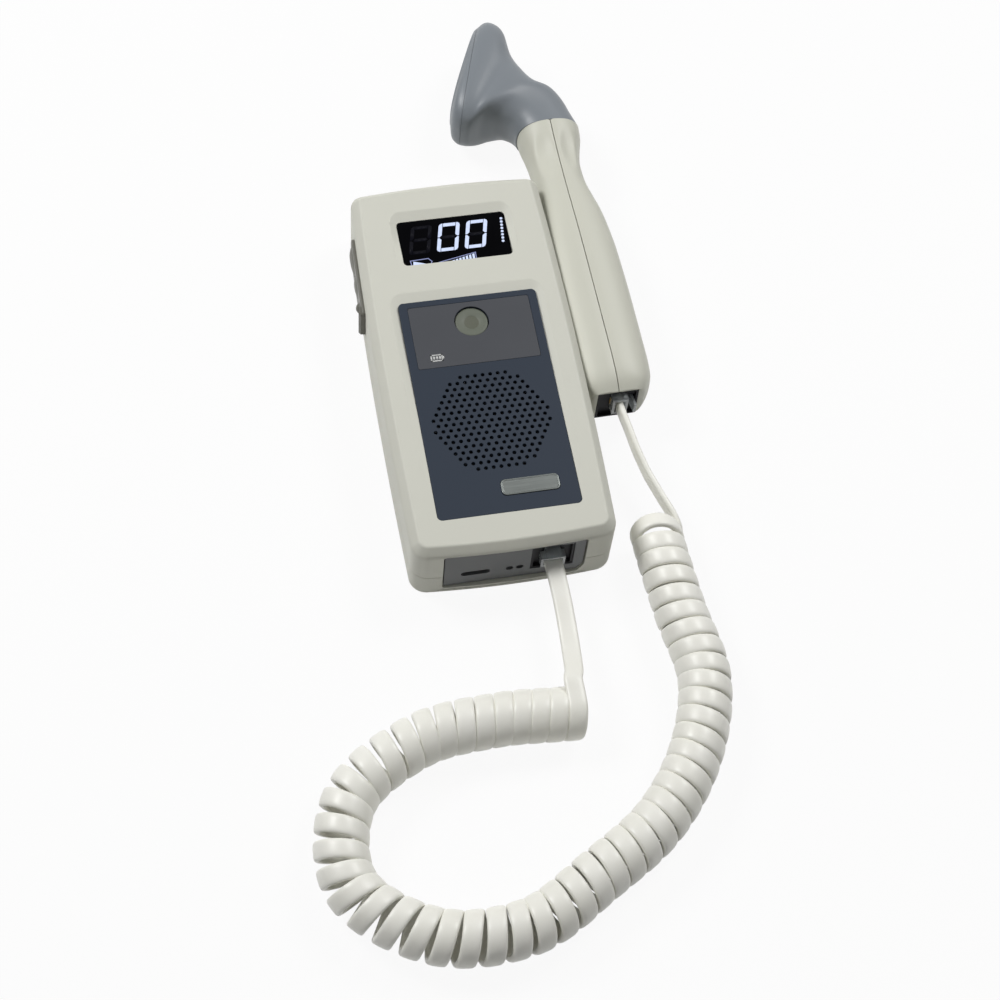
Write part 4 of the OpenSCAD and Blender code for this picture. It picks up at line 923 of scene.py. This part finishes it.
def makeDoor():
    # The sliding battery door: a rounded foot edge, two tongues, six grip ridges and an arrow
    half, end, thick = door["half"], door["end"], door["thickness"]
    piece = skin("battery_door", caseStack([e for e in case["rearEdge"] if e[1] < thick] + [(0.02, thick)]))
    carve(piece, [skin("doorShape", box((-half, *door["cutFrom"]), (half, end, thick + 0.8)))], "INTERSECT")
    out, foot, low, high = door["tongue"]
    tongues = [box((-out, foot, low), (lap - half, end, high)),
               box((half - lap, foot, low), (out, end, high))]
    carve(piece, [skin("tongue", tongue) for tongue in tongues], "UNION")
    ridges = [roundedRect(door["ridgeWidth"] - door["ridgeNarrows"]*k, door["ridgeLength"], 0.5, 0,
                          door["ridgeStart"] - door["ridgeStep"]*k)[0] for k in range(door["ridges"])]
    hollows = [extrude(ridge, -0.5, door["ridgeDepth"]) for ridge in ridges]
    hollows.append(extrude(door["arrow"], -0.5, door["arrowDepth"]))
    carve(piece, [manySkins("ridges", hollows)])
    return evenShading(piece)


put(makeFrontCase(), "case", "case_plastic", "front_case")
print("front shell made")
put(makeRearCase(), "case", "case_plastic", "rear_case")
put(makeDoor(), "door", "case_plastic", "battery_door")
print("rear shell and door made")


# Face: display window and its marks, slate panel, label, button and badge

glass = {"gap": 0.3, "low": 30.5, "edge": [(0, -0.1), (0.04, -0.02), (0.15, 0)],
         "flange": 4.4, "flangeAt": (29.7, 30.6)}
digit = {"height": 13.8, "width": 8.9, "slant": 0.225, "stroke": 1.7, "gap": 0.12, "foot": 52.7,
         "places": (-8.2, 3.45), "ghost": -19.9}
marks = {
    # the column of dots, and the bars that rise along the wedge
    "dots": 8, "dotRadius": 0.6, "dotTop": (21.1, 65.9), "dotStep": (0.157, 1.62),
    "bars": 8, "barStart": (-3.9, 47.15), "barStep": 1.42, "barLow": 0.35, "barRise": 0.36,
    "cellCharge": [(-18.9, 47.1), (-12.6, 47.2), (-18.5, 49.3)],
    "cellFrame": [(-19.4, 46.8), (-19.7, 49.7), (-12.2, 50.0), (-10.9, 48.4), (-11.6, 46.8)],
    "wedgeFrame": [(-8.2, 46.8), (-8.0, 47.5), (7.6, 50.5), (7.5, 46.9)],
    "wedgeFoot": [(-7.6, 46.9), (-4.4, 46.9), (-4.3, 47.3), (-7.5, 47.2)],
    "cellStroke": 0.35, "wedgeStroke": 0.32,
    # how deep the marks go into the glass, and how far each kind stands out of it
    "sunk": 0.06, "rise": {"figures": 0.03, "frames": 0.025, "ghost": 0.02},
}


def makeWindow():
    # A pane with a soft edge on a wider flange behind the opening
    w, l, r, y = case["window"]
    gap, top = glass["gap"], case["lens"]
    points, normals = roundedRect(w - gap, l - gap, r - gap/2, 0, y)
    lens = steppedRings(points, normals, [(0, glass["low"])] + [(i, top + z) for i, z in glass["edge"]])
    flange = roundedRect(w + glass["flange"], l + glass["flange"], r, 0, y)[0]
    return manySkins("display_glass", [lens, extrude(flange, *glass["flangeAt"])])


def segments(names, facts):
    # The strokes of a seven-segment figure: uprights take the rounded corners, bars lie between them
    h, w, s, g = (facts[k] for k in ("height", "width", "stroke", "gap"))
    mid = h/2
    upright = np.array([(0, mid + 0.25), (0, h - 1.3), (0.3, h - 0.5), (1.1, h), (s - g, h),
                        (s - g, mid + 1.1), (0.7, mid + 0.2)])
    flip = upright*(1, -1) + (0, h)
    bar = np.array([(s + g, h - s + 0.15), (w - s - g, h - s + 0.15), (w - s - g, h), (s + g, h)])
    waist = np.array([(s - 0.2, mid), (s + 0.5, mid + 0.75), (w - s - 0.5, mid + 0.75), (w - s + 0.2, mid),
                      (w - s - 0.5, mid - 0.75), (s + 0.5, mid - 0.75)])
    shapes = {"upperLeft": upright, "lowerLeft": flip, "upperRight": upright*(-1, 1) + (w, 0),
              "lowerRight": flip*(-1, 1) + (w, 0), "top": bar, "bottom": bar*(1, -1) + (0, h), "waist": waist}
    return [shapes[name] for name in names]


def figure(names, x, facts=digit):
    # Segments leaning to the right from their place along the display
    return [np.column_stack([x + s[:, 0] + facts["slant"]*s[:, 1], facts["foot"] + s[:, 1]])
            for s in segments(names, facts)]


def stroke(points, width):
    # Thin quads along a broken line
    shapes = []
    points = np.asarray(points, float)
    for a, b in zip(points[:-1], points[1:]):
        n = unit(np.array([-(b - a)[1], (b - a)[0]]))*width/2
        e = unit(b - a)*width/2
        shapes.append(np.array([a - n - e, b - n + e, b + n + e, a + n - e]))
    return shapes


def flatMarks(name, shapes, low, high):
    return manySkins(name, [extrude(s, low, high) for s in shapes], 0)


def makeMarks():
    ring = ("upperLeft", "lowerLeft", "upperRight", "lowerRight", "top", "bottom")
    lit = [s for x in digit["places"] for s in figure(ring, x)]
    (x, y), (dx, dy) = marks["dotTop"], marks["dotStep"]
    lit += [circle(marks["dotRadius"], x - dx*k, y - dy*k, 20) for k in range(marks["dots"])]
    x, y = marks["barStart"]
    for k in range(marks["bars"]):
        tall = marks["barLow"] + marks["barRise"]*k
        shape = np.array([(0, 0), (0.95, 0), (1.0, tall), (0.05, tall*0.92 - 0.1)])
        lit.append(shape + (x + marks["barStep"]*k, y))
    lit.append(marks["cellCharge"])
    dim = stroke(marks["cellFrame"], marks["cellStroke"]) + stroke(marks["wedgeFrame"], marks["wedgeStroke"])
    dim.append(marks["wedgeFoot"])
    waists = [s for x in digit["places"] for s in figure(("waist",), x)]
    ghost = figure(ring + ("waist",), digit["ghost"]) + waists
    top = case["lens"]
    kinds = (("figures", lit, litGlow), ("frames", dim, dimGlow), ("ghost", ghost, ghostGlow))
    for name, shapes, material in kinds:
        piece = flatMarks("display_" + name, shapes, top - marks["sunk"], top + marks["rise"][name])
        put(piece, "case", "window", material=material)


panelWidth, panelLength, panelRadius, panelY = case["panel"]
panel = {"width": panelWidth, "length": panelLength, "radius": panelRadius, "y": panelY,
         "low": 31.5, "top": 32.9,
         "edge": [(0, -0.2), (0.06, -0.07), (0.2, 0)], "pocketLow": 32.5, "pocketGap": 0.3,
         "pitch": 3.05, "hole": 1.55, "holeEdge": 0.12, "holeSides": 14, "rings": 8}
label = {"width": 49.6, "length": 29.4, "radius": 0.8, "x": 0, "y": 11.0, "low": 32.5, "top": 32.93,
         "edge": [(0, -0.08), (0.06, -0.02), (0.16, 0)]}
sign = {"x": -19.0, "y": -0.55, "width": 4.4, "height": 2.7, "stroke": 0.55, "bars": 3, "barStep": 1.2,
        "barWidth": 0.8, "margin": 0.65, "sunk": 0.05, "rise": 0.02}
badge = {"width": 23, "length": 7, "radius": 2.0, "x": 9.7, "y": -61.4, "low": 32.5,
         "edge": [(0, 0), (0, 0.6), (0.08, 0.74), (0.22, 0.8), (0.5, 0.8), (0.62, 0.74),
                  (0.72, 0.6), (0.95, 0.56)]}
button = {
    # radius and height, from the foot over the collar and the rounded rim into the sunk middle
    "profile": [(0.02, 27.3), (2.2, 27.3), (2.2, 29.4), (8.4, 29.4), (8.4, 30.4), (6.9, 30.45), (6.9, 31.6),
                (6.83, 31.9), (6.62, 32.12), (6.25, 32.26), (5.6, 32.3), (4.2, 32.12), (3.4, 31.98),
                (3.15, 31.9), (3.0, 31.82), (2.7, 31.79), (0.02, 31.78)],
}


def grilleCentres(facts):
    # A hexagon of holes in even rows, without its six corners
    n = facts["rings"]
    q, r = (v.ravel() for v in np.meshgrid(np.arange(-n, n + 1), np.arange(-n, n + 1)))
    three = np.abs(np.stack([q, r, -q - r]))
    far, near = three.max(0), three.min(0)
    keep = (far <= n) & ~((far == n) & (near == 0))
    q, r = q[keep], r[keep]
    pitch, rise = facts["pitch"], math.sin(math.radians(60))
    return np.column_stack([(q + r/2)*pitch, r*pitch*rise + case["grille"][1]])


def plate(name, facts, sharpAngle=34):
    # A rounded plate whose soft edge is given by insets and heights from its top
    points, normals = roundedRect(facts["width"], facts["length"], facts["radius"], 0, facts["y"])
    profile = [(0, facts["low"])] + [(inset, facts["top"] + z) for inset, z in facts["edge"]]
    return skin(name, steppedRings(points, normals, profile), sharpAngle)


def makePanel():
    radius, top, soft = panel["hole"]/2, panel["top"], panel["holeEdge"]
    profile = [(radius, panel["low"] - 1), (radius, top - 0.13), (radius + soft, top + 0.01),
               (radius + soft, top + 0.5)]
    holes = [turned(profile, x, y, panel["holeSides"]) for x, y in grilleCentres(panel)]
    pockets = []
    for facts in (label, badge):
        w, l = facts["width"] + panel["pocketGap"], facts["length"] + panel["pocketGap"]
        outline = roundedRect(w, l, facts["radius"], facts["x"], facts["y"])[0]
        pockets.append(faceCut("pocket", outline, panel["pocketLow"]))
    cutters = [manySkins("grille", holes)] + pockets + [buttonHole()]
    return evenShading(carve(plate("speaker_panel", panel), cutters))


def makeCellSign():
    # A small cell sign printed on the label: an outline, three bars and the terminal
    x, y, w, h, m = (sign[k] for k in ("x", "y", "width", "height", "margin"))
    shapes = stroke([(x, y), (x + w, y), (x + w, y + h), (x, y + h), (x, y)], sign["stroke"])
    for k in range(sign["bars"]):
        left = x + 0.7 + sign["barStep"]*k
        shapes.append(rectangle(left, y + m, left + sign["barWidth"], y + h - m))
    shapes.append(rectangle(x + w + 0.2, y + 0.8, x + w + 0.75, y + h - 0.8))
    top = label["top"]
    piece = flatMarks("cell_sign", shapes, top - sign["sunk"], top + sign["rise"])
    put(piece, "case", "label", material=signWhite)


def makeBadge():
    # A plate with a raised rounded rim
    points, normals = roundedRect(badge["width"], badge["length"], badge["radius"], badge["x"], badge["y"])
    profile = [(inset, badge["low"] + z) for inset, z in badge["edge"]]
    return evenShading(skin("badge_plate", steppedRings(points, normals, profile), 30))


put(makeWindow(), "case", "window", "display_window")
makeMarks()
put(makePanel(), "case", "slate_plastic", "speaker_panel")
put(evenShading(carve(plate("label_film", label), [buttonHole()])), "case", "label", "label_plate")
makeCellSign()
put(skin("power_button", turned(button["profile"], 0, case["button"][1], 72), 40), "power_key", "key_rubber",
    "power_button")
put(makeBadge(), "case", "badge_metal", "badge_plate")
print("face made")


# Side keys: the bezel with its raised foot, and three domed keys, drawn as y and z on the case's left side

keys = {
    "opening": [(31.5, 12, 0.3), (68.2, 12, 2.6), (68.2, 24, 0.3), (31.5, 24, 0.3)],
    "pad": [(29.5, 11, 0.8), (68.6, 11, 4), (68.6, 27, 4), (29.5, 27, 0.8)],
    # inset and how far it stands out of the case's side
    "padEdge": [(0, 0.8), (0.1, 1.12), (0.3, 1.34), (0.65, 1.45)], "padSunk": 0.03,
    # the wedge's outline seen from the face, as y and how far it stands out, and its ends along z
    "wedge": [(29.5, -0.3), (34.7, -0.3), (34.7, 1.42), (30.6, 2.75), (29.5, 1.95)],
    "wedgeEnds": [(0.35, 11.6), (0, 11.95), (0, 26.05), (0.35, 26.4)],
    "middle": 19, "gap": 0.22, "wall": 2.4, "holeCut": (-60, -25),
    # lower end, upper end, height, how far the rim and the crown stand out, and where between the ends
    # the crown is highest
    "volume_up_key": (54.4, 68.0, 9, 1.3, 2.5, 0.62), "volume_down_key": (43.5, 53, 9, 1.25, 2.25, 0.58),
    "print_key": (35.1, 40.3, 5.2, 1.35, 2.9, 0.5),
    # inset and drop of a key's soft rim, its crown's power and rings, the flange behind it, and the stem
    "rim": [(0, 0.35), (0.07, 0.12)], "crownPower": 2.2, "crownRings": 12,
    "flange": 0.8, "flangeAt": (1.0, 0.3), "stem": {"z": 23.0, "half": 1.2, "from": -39.5, "to": -36.4},
}
keyBodies = {"volume_up_key": "volume_up", "volume_down_key": "volume_down", "print_key": "print"}


def leftSide(points, proud):
    # Points given as y and z, set on the bowed side and moved out of it
    points = np.asarray(points, float)
    x = case["topBow"]*(2*points[:, 0]/case["length"])**2 - case["width"]/2 - proud
    return np.column_stack([x, points])


def keyOutline(node, grow=0.0):
    low, high, height = keys[node][:3]
    r = height/2 + grow
    return evenShape(low - grow, keys["middle"] - r, high + grow, keys["middle"] + r, r - 0.02)


def makeBezel():
    # A pad that rises out of its opening over a soft edge, with the keys' holes and the wedge at its foot
    opening, pad = roundedShape(keys["opening"])[0], roundedShape(keys["pad"])[0]
    wall, sunk = keys["wall"], keys["padSunk"]
    rings = [leftSide(opening, -wall), leftSide(opening, -sunk), leftSide(pad, -sunk)]
    rings += [leftSide(shrunk(pad, inset), proud) for inset, proud in keys["padEdge"]]
    bezel = skin("key_bezel_shaped", rings)
    holes = [extrude(keyOutline(node, keys["gap"]), *keys["holeCut"], "x") for node in keyBodies]
    carve(bezel, [skin("keyHole", hole) for hole in holes])
    flat = np.array([(leftSide([(y, 0)], proud)[0, 0], y) for y, proud in keys["wedge"]])
    rings = [atHeight(shrunk(flat, inset), z) for inset, z in keys["wedgeEnds"]]
    return evenShading(carve(bezel, [skin("wedge", rings)], "UNION"))


def makeKey(node):
    # A crown that falls off with a power of the distance from its highest place
    low, high, _, rim, crown, at = keys[node]
    wall, outline = keys["wall"], keyOutline(node)
    peak = np.array([low + (high - low)*at, keys["middle"]])
    rings = [leftSide(outline, -wall - 0.4)]
    rings += [leftSide(shrunk(outline, inset), rim - drop) for inset, drop in keys["rim"]]
    rings += [leftSide(peak + (outline - peak)*t, rim + (crown - rim)*(1 - t**keys["crownPower"]))
              for t in np.linspace(0.96, 0.04, keys["crownRings"])]
    foot = [leftSide(keyOutline(node, keys["flange"]), -wall - depth) for depth in keys["flangeAt"]]
    stem, y = keys["stem"], (low + high)/2
    half = stem["half"]
    post = box((stem["from"], y - half, stem["z"] - half), (stem["to"], y + half, stem["z"] + half))
    return manySkins(node + "_shaped", [rings, foot, post], 40)


put(makeBezel(), "case", "key_plastic", "key_bezel")
for node, body in keyBodies.items():
    put(makeKey(node), body, "key_plastic", node)
print("keys made")


# Foot: connector panel, contacts and the black jacks at both ends of the cord

def turnToFoot(rings):
    # From rings stacked along z to rings stacked along y
    return np.asarray(rings, float)[..., (0, 2, 1)]


def makeFootPanel():
    # A plate with a soft edge and a flange behind the case's foot, with holes for jack, slot and contacts
    points, normals = roundedShape(footPanel["corners"])
    front = footPanel["face"] - 2, footPanel["face"] + footPanel["depth"]
    profile = [(0, footPanel["back"])] + [(inset, footPanel["face"] + y) for inset, y in footPanel["edge"]]
    piece = skin("foot_panel", turnToFoot(steppedRings(points, normals, profile)))
    carve(piece, [skin("flange", box(*footPanel["flange"]))], "UNION")
    x, z, size = footPanel["jack"]
    sx, sz, w, h = footPanel["slot"]
    half = size/2 + footPanel["jackGap"]
    slot = evenShape(sx - w/2, sz - h/2, sx + w/2, sz + h/2, h/2 - 0.02)
    pins = [circle(footPanel["pinHole"]/2, px, sz, 32) for px in footPanel["pins"]]
    cutters = [skin("jackHole", box((x - half, front[0], z - half), (x + half, front[1], z + half))),
               skin("slot", extrude(slot, *front, "y")),
               manySkins("pinHoles", [extrude(pin, *front, "y") for pin in pins])]
    return evenShading(carve(piece, cutters))


def makePins():
    # Two round-nosed contacts, sunk below the panel's face
    r, nose, z = footPanel["pin"]/2, footPanel["face"] + footPanel["pinSink"], footPanel["slot"][1]
    head, back, front = footPanel["pinHead"]
    profile = [(0.02, back), (head, back), (head, front), (r, front), (r, nose + 0.35), (r*0.8, nose + 0.12),
               (r*0.4, nose + 0.02), (0.02, nose)]
    return manySkins("foot_contacts", [turnToFoot(turned(profile, x, z, 32)) for x in footPanel["pins"]])


# the mouth's half width, depth below and above the axis and inner end, and the half width and height of
# the way for the latch
jack = {"depth": 15, "rim": 0.9, "sink": 1.5, "mouth": (4.98, 3.6, 3.42, 11.9), "latchWay": (3.2, 6.9)}


def makeJack(name, place, facts):
    # A housing with a sunk face, a mouth for the plug and a way for its latch, between x and z limits
    wide, down, up, deep = jack["mouth"]
    way, height = jack["latchWay"]
    (x0, z0), (x1, z1), rim = facts["low"], facts["high"], jack["rim"]
    body = skin(name, place(box((x0, 0, z0), (x1, jack["depth"], z1))))
    cutters = [box((x0 + rim, -2, z0 + rim), (x1 - rim, jack["sink"], z1 - rim)),
               box((-wide, -3, -down), (wide, deep, up)), box((-way, -3, 0), (way, deep, height))]
    return carve(body, [skin("cut", place(c)) for c in cutters])


put(makeFootPanel(), "case", "foot_plastic", "end_panel")
put(makePins(), "case", "contact_gold", "charge_pins", material=pinSteel)
put(makeJack("jack_base", basePlace, baseJack), "case", "black_plastic", "base_jack")
put(makeJack("jack_probe", probePlace, probeJack), "probe", "black_plastic", "probe_jack")
print("foot made")


# Probe: two handle halves, the bent head and its cap

handle = {
    # distance up the handle, half width, half height, squareness
    "stations": [(0, 10.6, 9.6, 5), (2, 12.6, 10.8, 4), (5, 14.6, 12.2, 3.2), (10, 16, 13.2, 2.7),
                 (18, 16.4, 13.6, 2.6), (45, 16.4, 13.6, 2.6), (70, 16, 13.4, 2.5), (85, 14.9, 12.8, 2.4),
                 (98, 13, 11.8, 2.4), (108, 11.9, 11.3, 2.4), (118, 11.6, 11.2, 2.4),
                 (127, 12.4, 11.6, 2.4), (133, 13.4, 12.2, 2.4), (137, 13.7, 12.6, 2.4)],
    "spacing": 1.6, "around": 96, "wall": 2.2, "hollowAround": 48, "hollowStart": 18,
    # two finger hollows beside the seam: middle, half length, half width and depth
    "fingers": [(-5.0, 119.5, 12.5, 4.4, 1.5), (5.4, 122.0, 10.5, 3.8, 1.4)], "fingerPower": 1.2,
    # the outer side's waist: middle, half length and depth
    "waist": (112, 19, 1.7),
    # the seam's groove: half width and depth at the top, half width and share of the height at the bottom
    "seam": (0.2, 0.32, 0.08, 0.92),
    "jackHole": ((-8.55, -1, -14), (8.55, 15.4, 8.55)), "wireWay": ((-7, 15, -6), (7, 20, 6)),
    "spigot": (12, 10.4, 2.4, 48), "spigotReach": (131, 138.5),
}
head = {
    # outer end and inner end of each section, then half height and squareness
    "stations": [(13.7, 0, -14.2, 0, 12.6, 2.4), (11.8, 6.8, -15.2, 2.5, 12.8, 2.4),
                 (9.6, 14.7, -17.6, 5.6, 13.2, 2.5), (5.9, 21.3, -21.9, 8.3, 14.1, 2.6),
                 (-0.7, 25.4, -27.1, 8.7, 15.2, 2.8), (-5.1, 32.6, -31.6, 6.8, 15.2, 3),
                 (-8.2, 42, -34.3, 5.8, 14.5, 3.1), (-9, 54, -36.5, 6.3, 15.2, 3.2),
                 (-11.7, 59.2, -38.9, 7.9, 15.4, 3.3), (-15.7, 61.5, -40.6, 11, 14.7, 3.2),
                 (-20.3, 60.1, -40.3, 16, 12.1, 2.8)],
    "rings": 61, "around": 96, "wall": 2.2, "hollowAround": 48, "hollowBetween": (1, 9),
    # the face's middle, the tilts of its dome and of the cap's parting plane, and that plane's depth and gaps
    "faceMiddle": (-31.2, 175.4, 0), "faceTilt": math.radians(65.5), "capTilt": math.radians(71.5),
    "cap": 3.9, "capGap": (0.05, 0.06), "blockFront": 30,
    # each ring of the face's dome: its share of the rim and how far it rises
    "dome": [(0.985, 0.26), (0.95, 0.42), (0.9, 0.53), (0.8, 0.66), (0.6, 0.78), (0.3, 0.87), (0.04, 0.9)],
}


def fineStations(stations, spacing):
    # A cubic between stations along the first column. Its slope at a station is the harmonic mean of the
    # slopes on either side, or none where they turn, so that no section overshoots its neighbours
    s = np.asarray(stations, float)
    x, y = s[:, 0], s[:, 1:]
    h = np.diff(x)[:, None]
    slope = np.diff(y, axis=0)/h
    total, product = slope[:-1] + slope[1:], slope[:-1]*slope[1:]
    inner = np.where(product > 0, 2*product/np.where(total == 0, 1, total), 0)
    m = np.concatenate([slope[:1], inner, slope[-1:]])
    spans = [np.linspace(a, b, max(int((b - a)/spacing), 2), endpoint=False) for a, b in zip(x, x[1:])]
    fine = np.concatenate(spans + [x[-1:]])
    i = np.clip(np.searchsorted(x, fine, "right") - 1, 0, len(x) - 2)
    t = ((fine - x[i])/h[i, 0])[:, None]
    a, b, c, d = (2*t**3 - 3*t**2 + 1), (t**3 - 2*t**2 + t)*h[i], (3*t**2 - 2*t**3), (t**3 - t**2)*h[i]
    return np.column_stack([fine, a*y[i] + b*m[i] + c*y[i + 1] + d*m[i + 1]])


def handleRings(inset, around, low=0.0, carved=False):
    # Superellipses up the handle. A finger hollow sinks the upper side by a power of 1 less the squared
    # distance from its middle, and the waist draws in the outer side
    rings = []
    for s, a, b, n in fineStations(handle["stations"], handle["spacing"]):
        if s < low:
            continue
        ring = oval(a - inset, b - inset, n, around)
        points = np.column_stack([ring[:, 0], np.full(around, s), ring[:, 1]])
        if carved:
            for x, y, halfL, halfW, depth in handle["fingers"]:
                away = ((points[:, 0] - x)/halfW)**2 + ((s - y)/halfL)**2
                points[:, 2] -= depth*np.clip(1 - away, 0, 1)**handle["fingerPower"]*(points[:, 2] > 0)
            middle, halfL, depth = handle["waist"]
            drawn = depth*max(1 - ((s - middle)/halfL)**2, 0)**1.5
            points[:, 0] -= drawn*np.clip(points[:, 0]/a, 0, 1)**1.5
        rings.append(points)
    return np.array(rings)


def makeHandleHalf(name, side):
    # Half of every ring, closed along the parting plane, whose edge is eased into a fine groove
    around, (wide, drop, slit, share) = handle["around"], handle["seam"]
    rings = handleRings(0, around, carved=True)
    start = around//4 if side < 0 else 3*around//4
    half = rings[:, np.arange(start, start + around//2 + 1) % around]
    for end in (0, -1):
        half[:, end, 0] = side*wide
        half[:, end, 2] -= drop*np.sign(half[:, end, 2])
    flat = np.stack([half[:, -1], half[:, 0]], 1)*(0, 1, share) + (side*slit, 0, 0)
    piece = skin(name, probePoint(np.concatenate([half, flat], 1)), 50)
    hollow = handleRings(handle["wall"], handle["hollowAround"], handle["hollowStart"])
    cuts = {"gripHollow": hollow, "jackHole": box(*handle["jackHole"]), "wireWay": box(*handle["wireWay"]),
            "spigotBore": extrude(oval(*handle["spigot"]), *handle["spigotReach"], "y")}
    return carve(piece, [skin(k, probePoint(cut)) for k, cut in cuts.items()], sharpAngle=50)


def headRings(inset, around, first=0, last=99):
    # Superellipses square to the line that joins each section's outer and inner end
    s = np.array(head["stations"], float)
    v = np.linspace(0, len(s) - 1, head["rings"])
    made = []
    for ax, ay, bx, by, b, n in curveAt(withEnds(s), v)[(v >= first) & (v <= last)]:
        a, c = np.array([ax, ay]), np.array([bx, by])
        middle, reach = (a + c)/2, np.linalg.norm(a - c)/2
        along = (a - c)/(2*reach)
        ring = oval(reach - inset, b - inset, n, around)
        x, y = middle[0] + ring[:, 0]*along[0], probe["handle"] + middle[1] + ring[:, 0]*along[1]
        made.append(np.column_stack([x, y, ring[:, 1]]))
    return made


def headSkin(name):
    # The skin of the head, closed over its face by rings that shrink and rise into a shallow dome
    rings = headRings(0.0, head["around"])
    rim, tilt = rings[-1], head["faceTilt"]
    middle = rim.mean(0)
    out = np.array([-math.sin(tilt), math.cos(tilt), 0])
    dome = [middle + (rim - middle)*share + out*rise for share, rise in head["dome"]]
    return skin(name, probePoint(np.array(rings + dome)), 50)


def faceBlock(name, back):
    # A block across the head from a depth behind its face to well in front of it
    c, s = math.cos(head["capTilt"]), math.sin(head["capTilt"])
    p = box((-40, -back, -30), (40, head["blockFront"], 30))
    turnedBox = np.stack([p[..., 0]*c - p[..., 1]*s, p[..., 0]*s + p[..., 1]*c, p[..., 2]], -1)
    return skin(name, probePoint(turnedBox + np.array(head["faceMiddle"])))


def makeHead():
    bodyGap, capGap = head["capGap"]
    hollow = headRings(head["wall"], head["hollowAround"], *head["hollowBetween"])
    body = headSkin("probe_head")
    cavity = skin("cavity", probePoint(np.array(hollow)))
    carve(body, [cavity, faceBlock("capSide", head["cap"] + bodyGap)], sharpAngle=50)
    cap = carve(headSkin("face_cap"), [faceBlock("capBlock", head["cap"] - capGap)], "INTERSECT", 50)
    return body, cap


put(makeHandleHalf("handle_inner_half", -1), "probe", "probe_plastic", "handle_inner_half")
put(makeHandleHalf("handle_outer_half", 1), "probe", "probe_plastic", "handle_outer_half")
headPiece, capPiece = makeHead()
put(headPiece, "probe", "head_plastic", "probe_head")
put(capPiece, "probe", "head_plastic", "face_cap")
print("probe made")


# Carried-over nodes take their finishes

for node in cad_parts.values():
    for slot in node.material_slots:
        slot.material = finishes[slot.material.name.split(".")[0]]
print("carried-over parts finished")
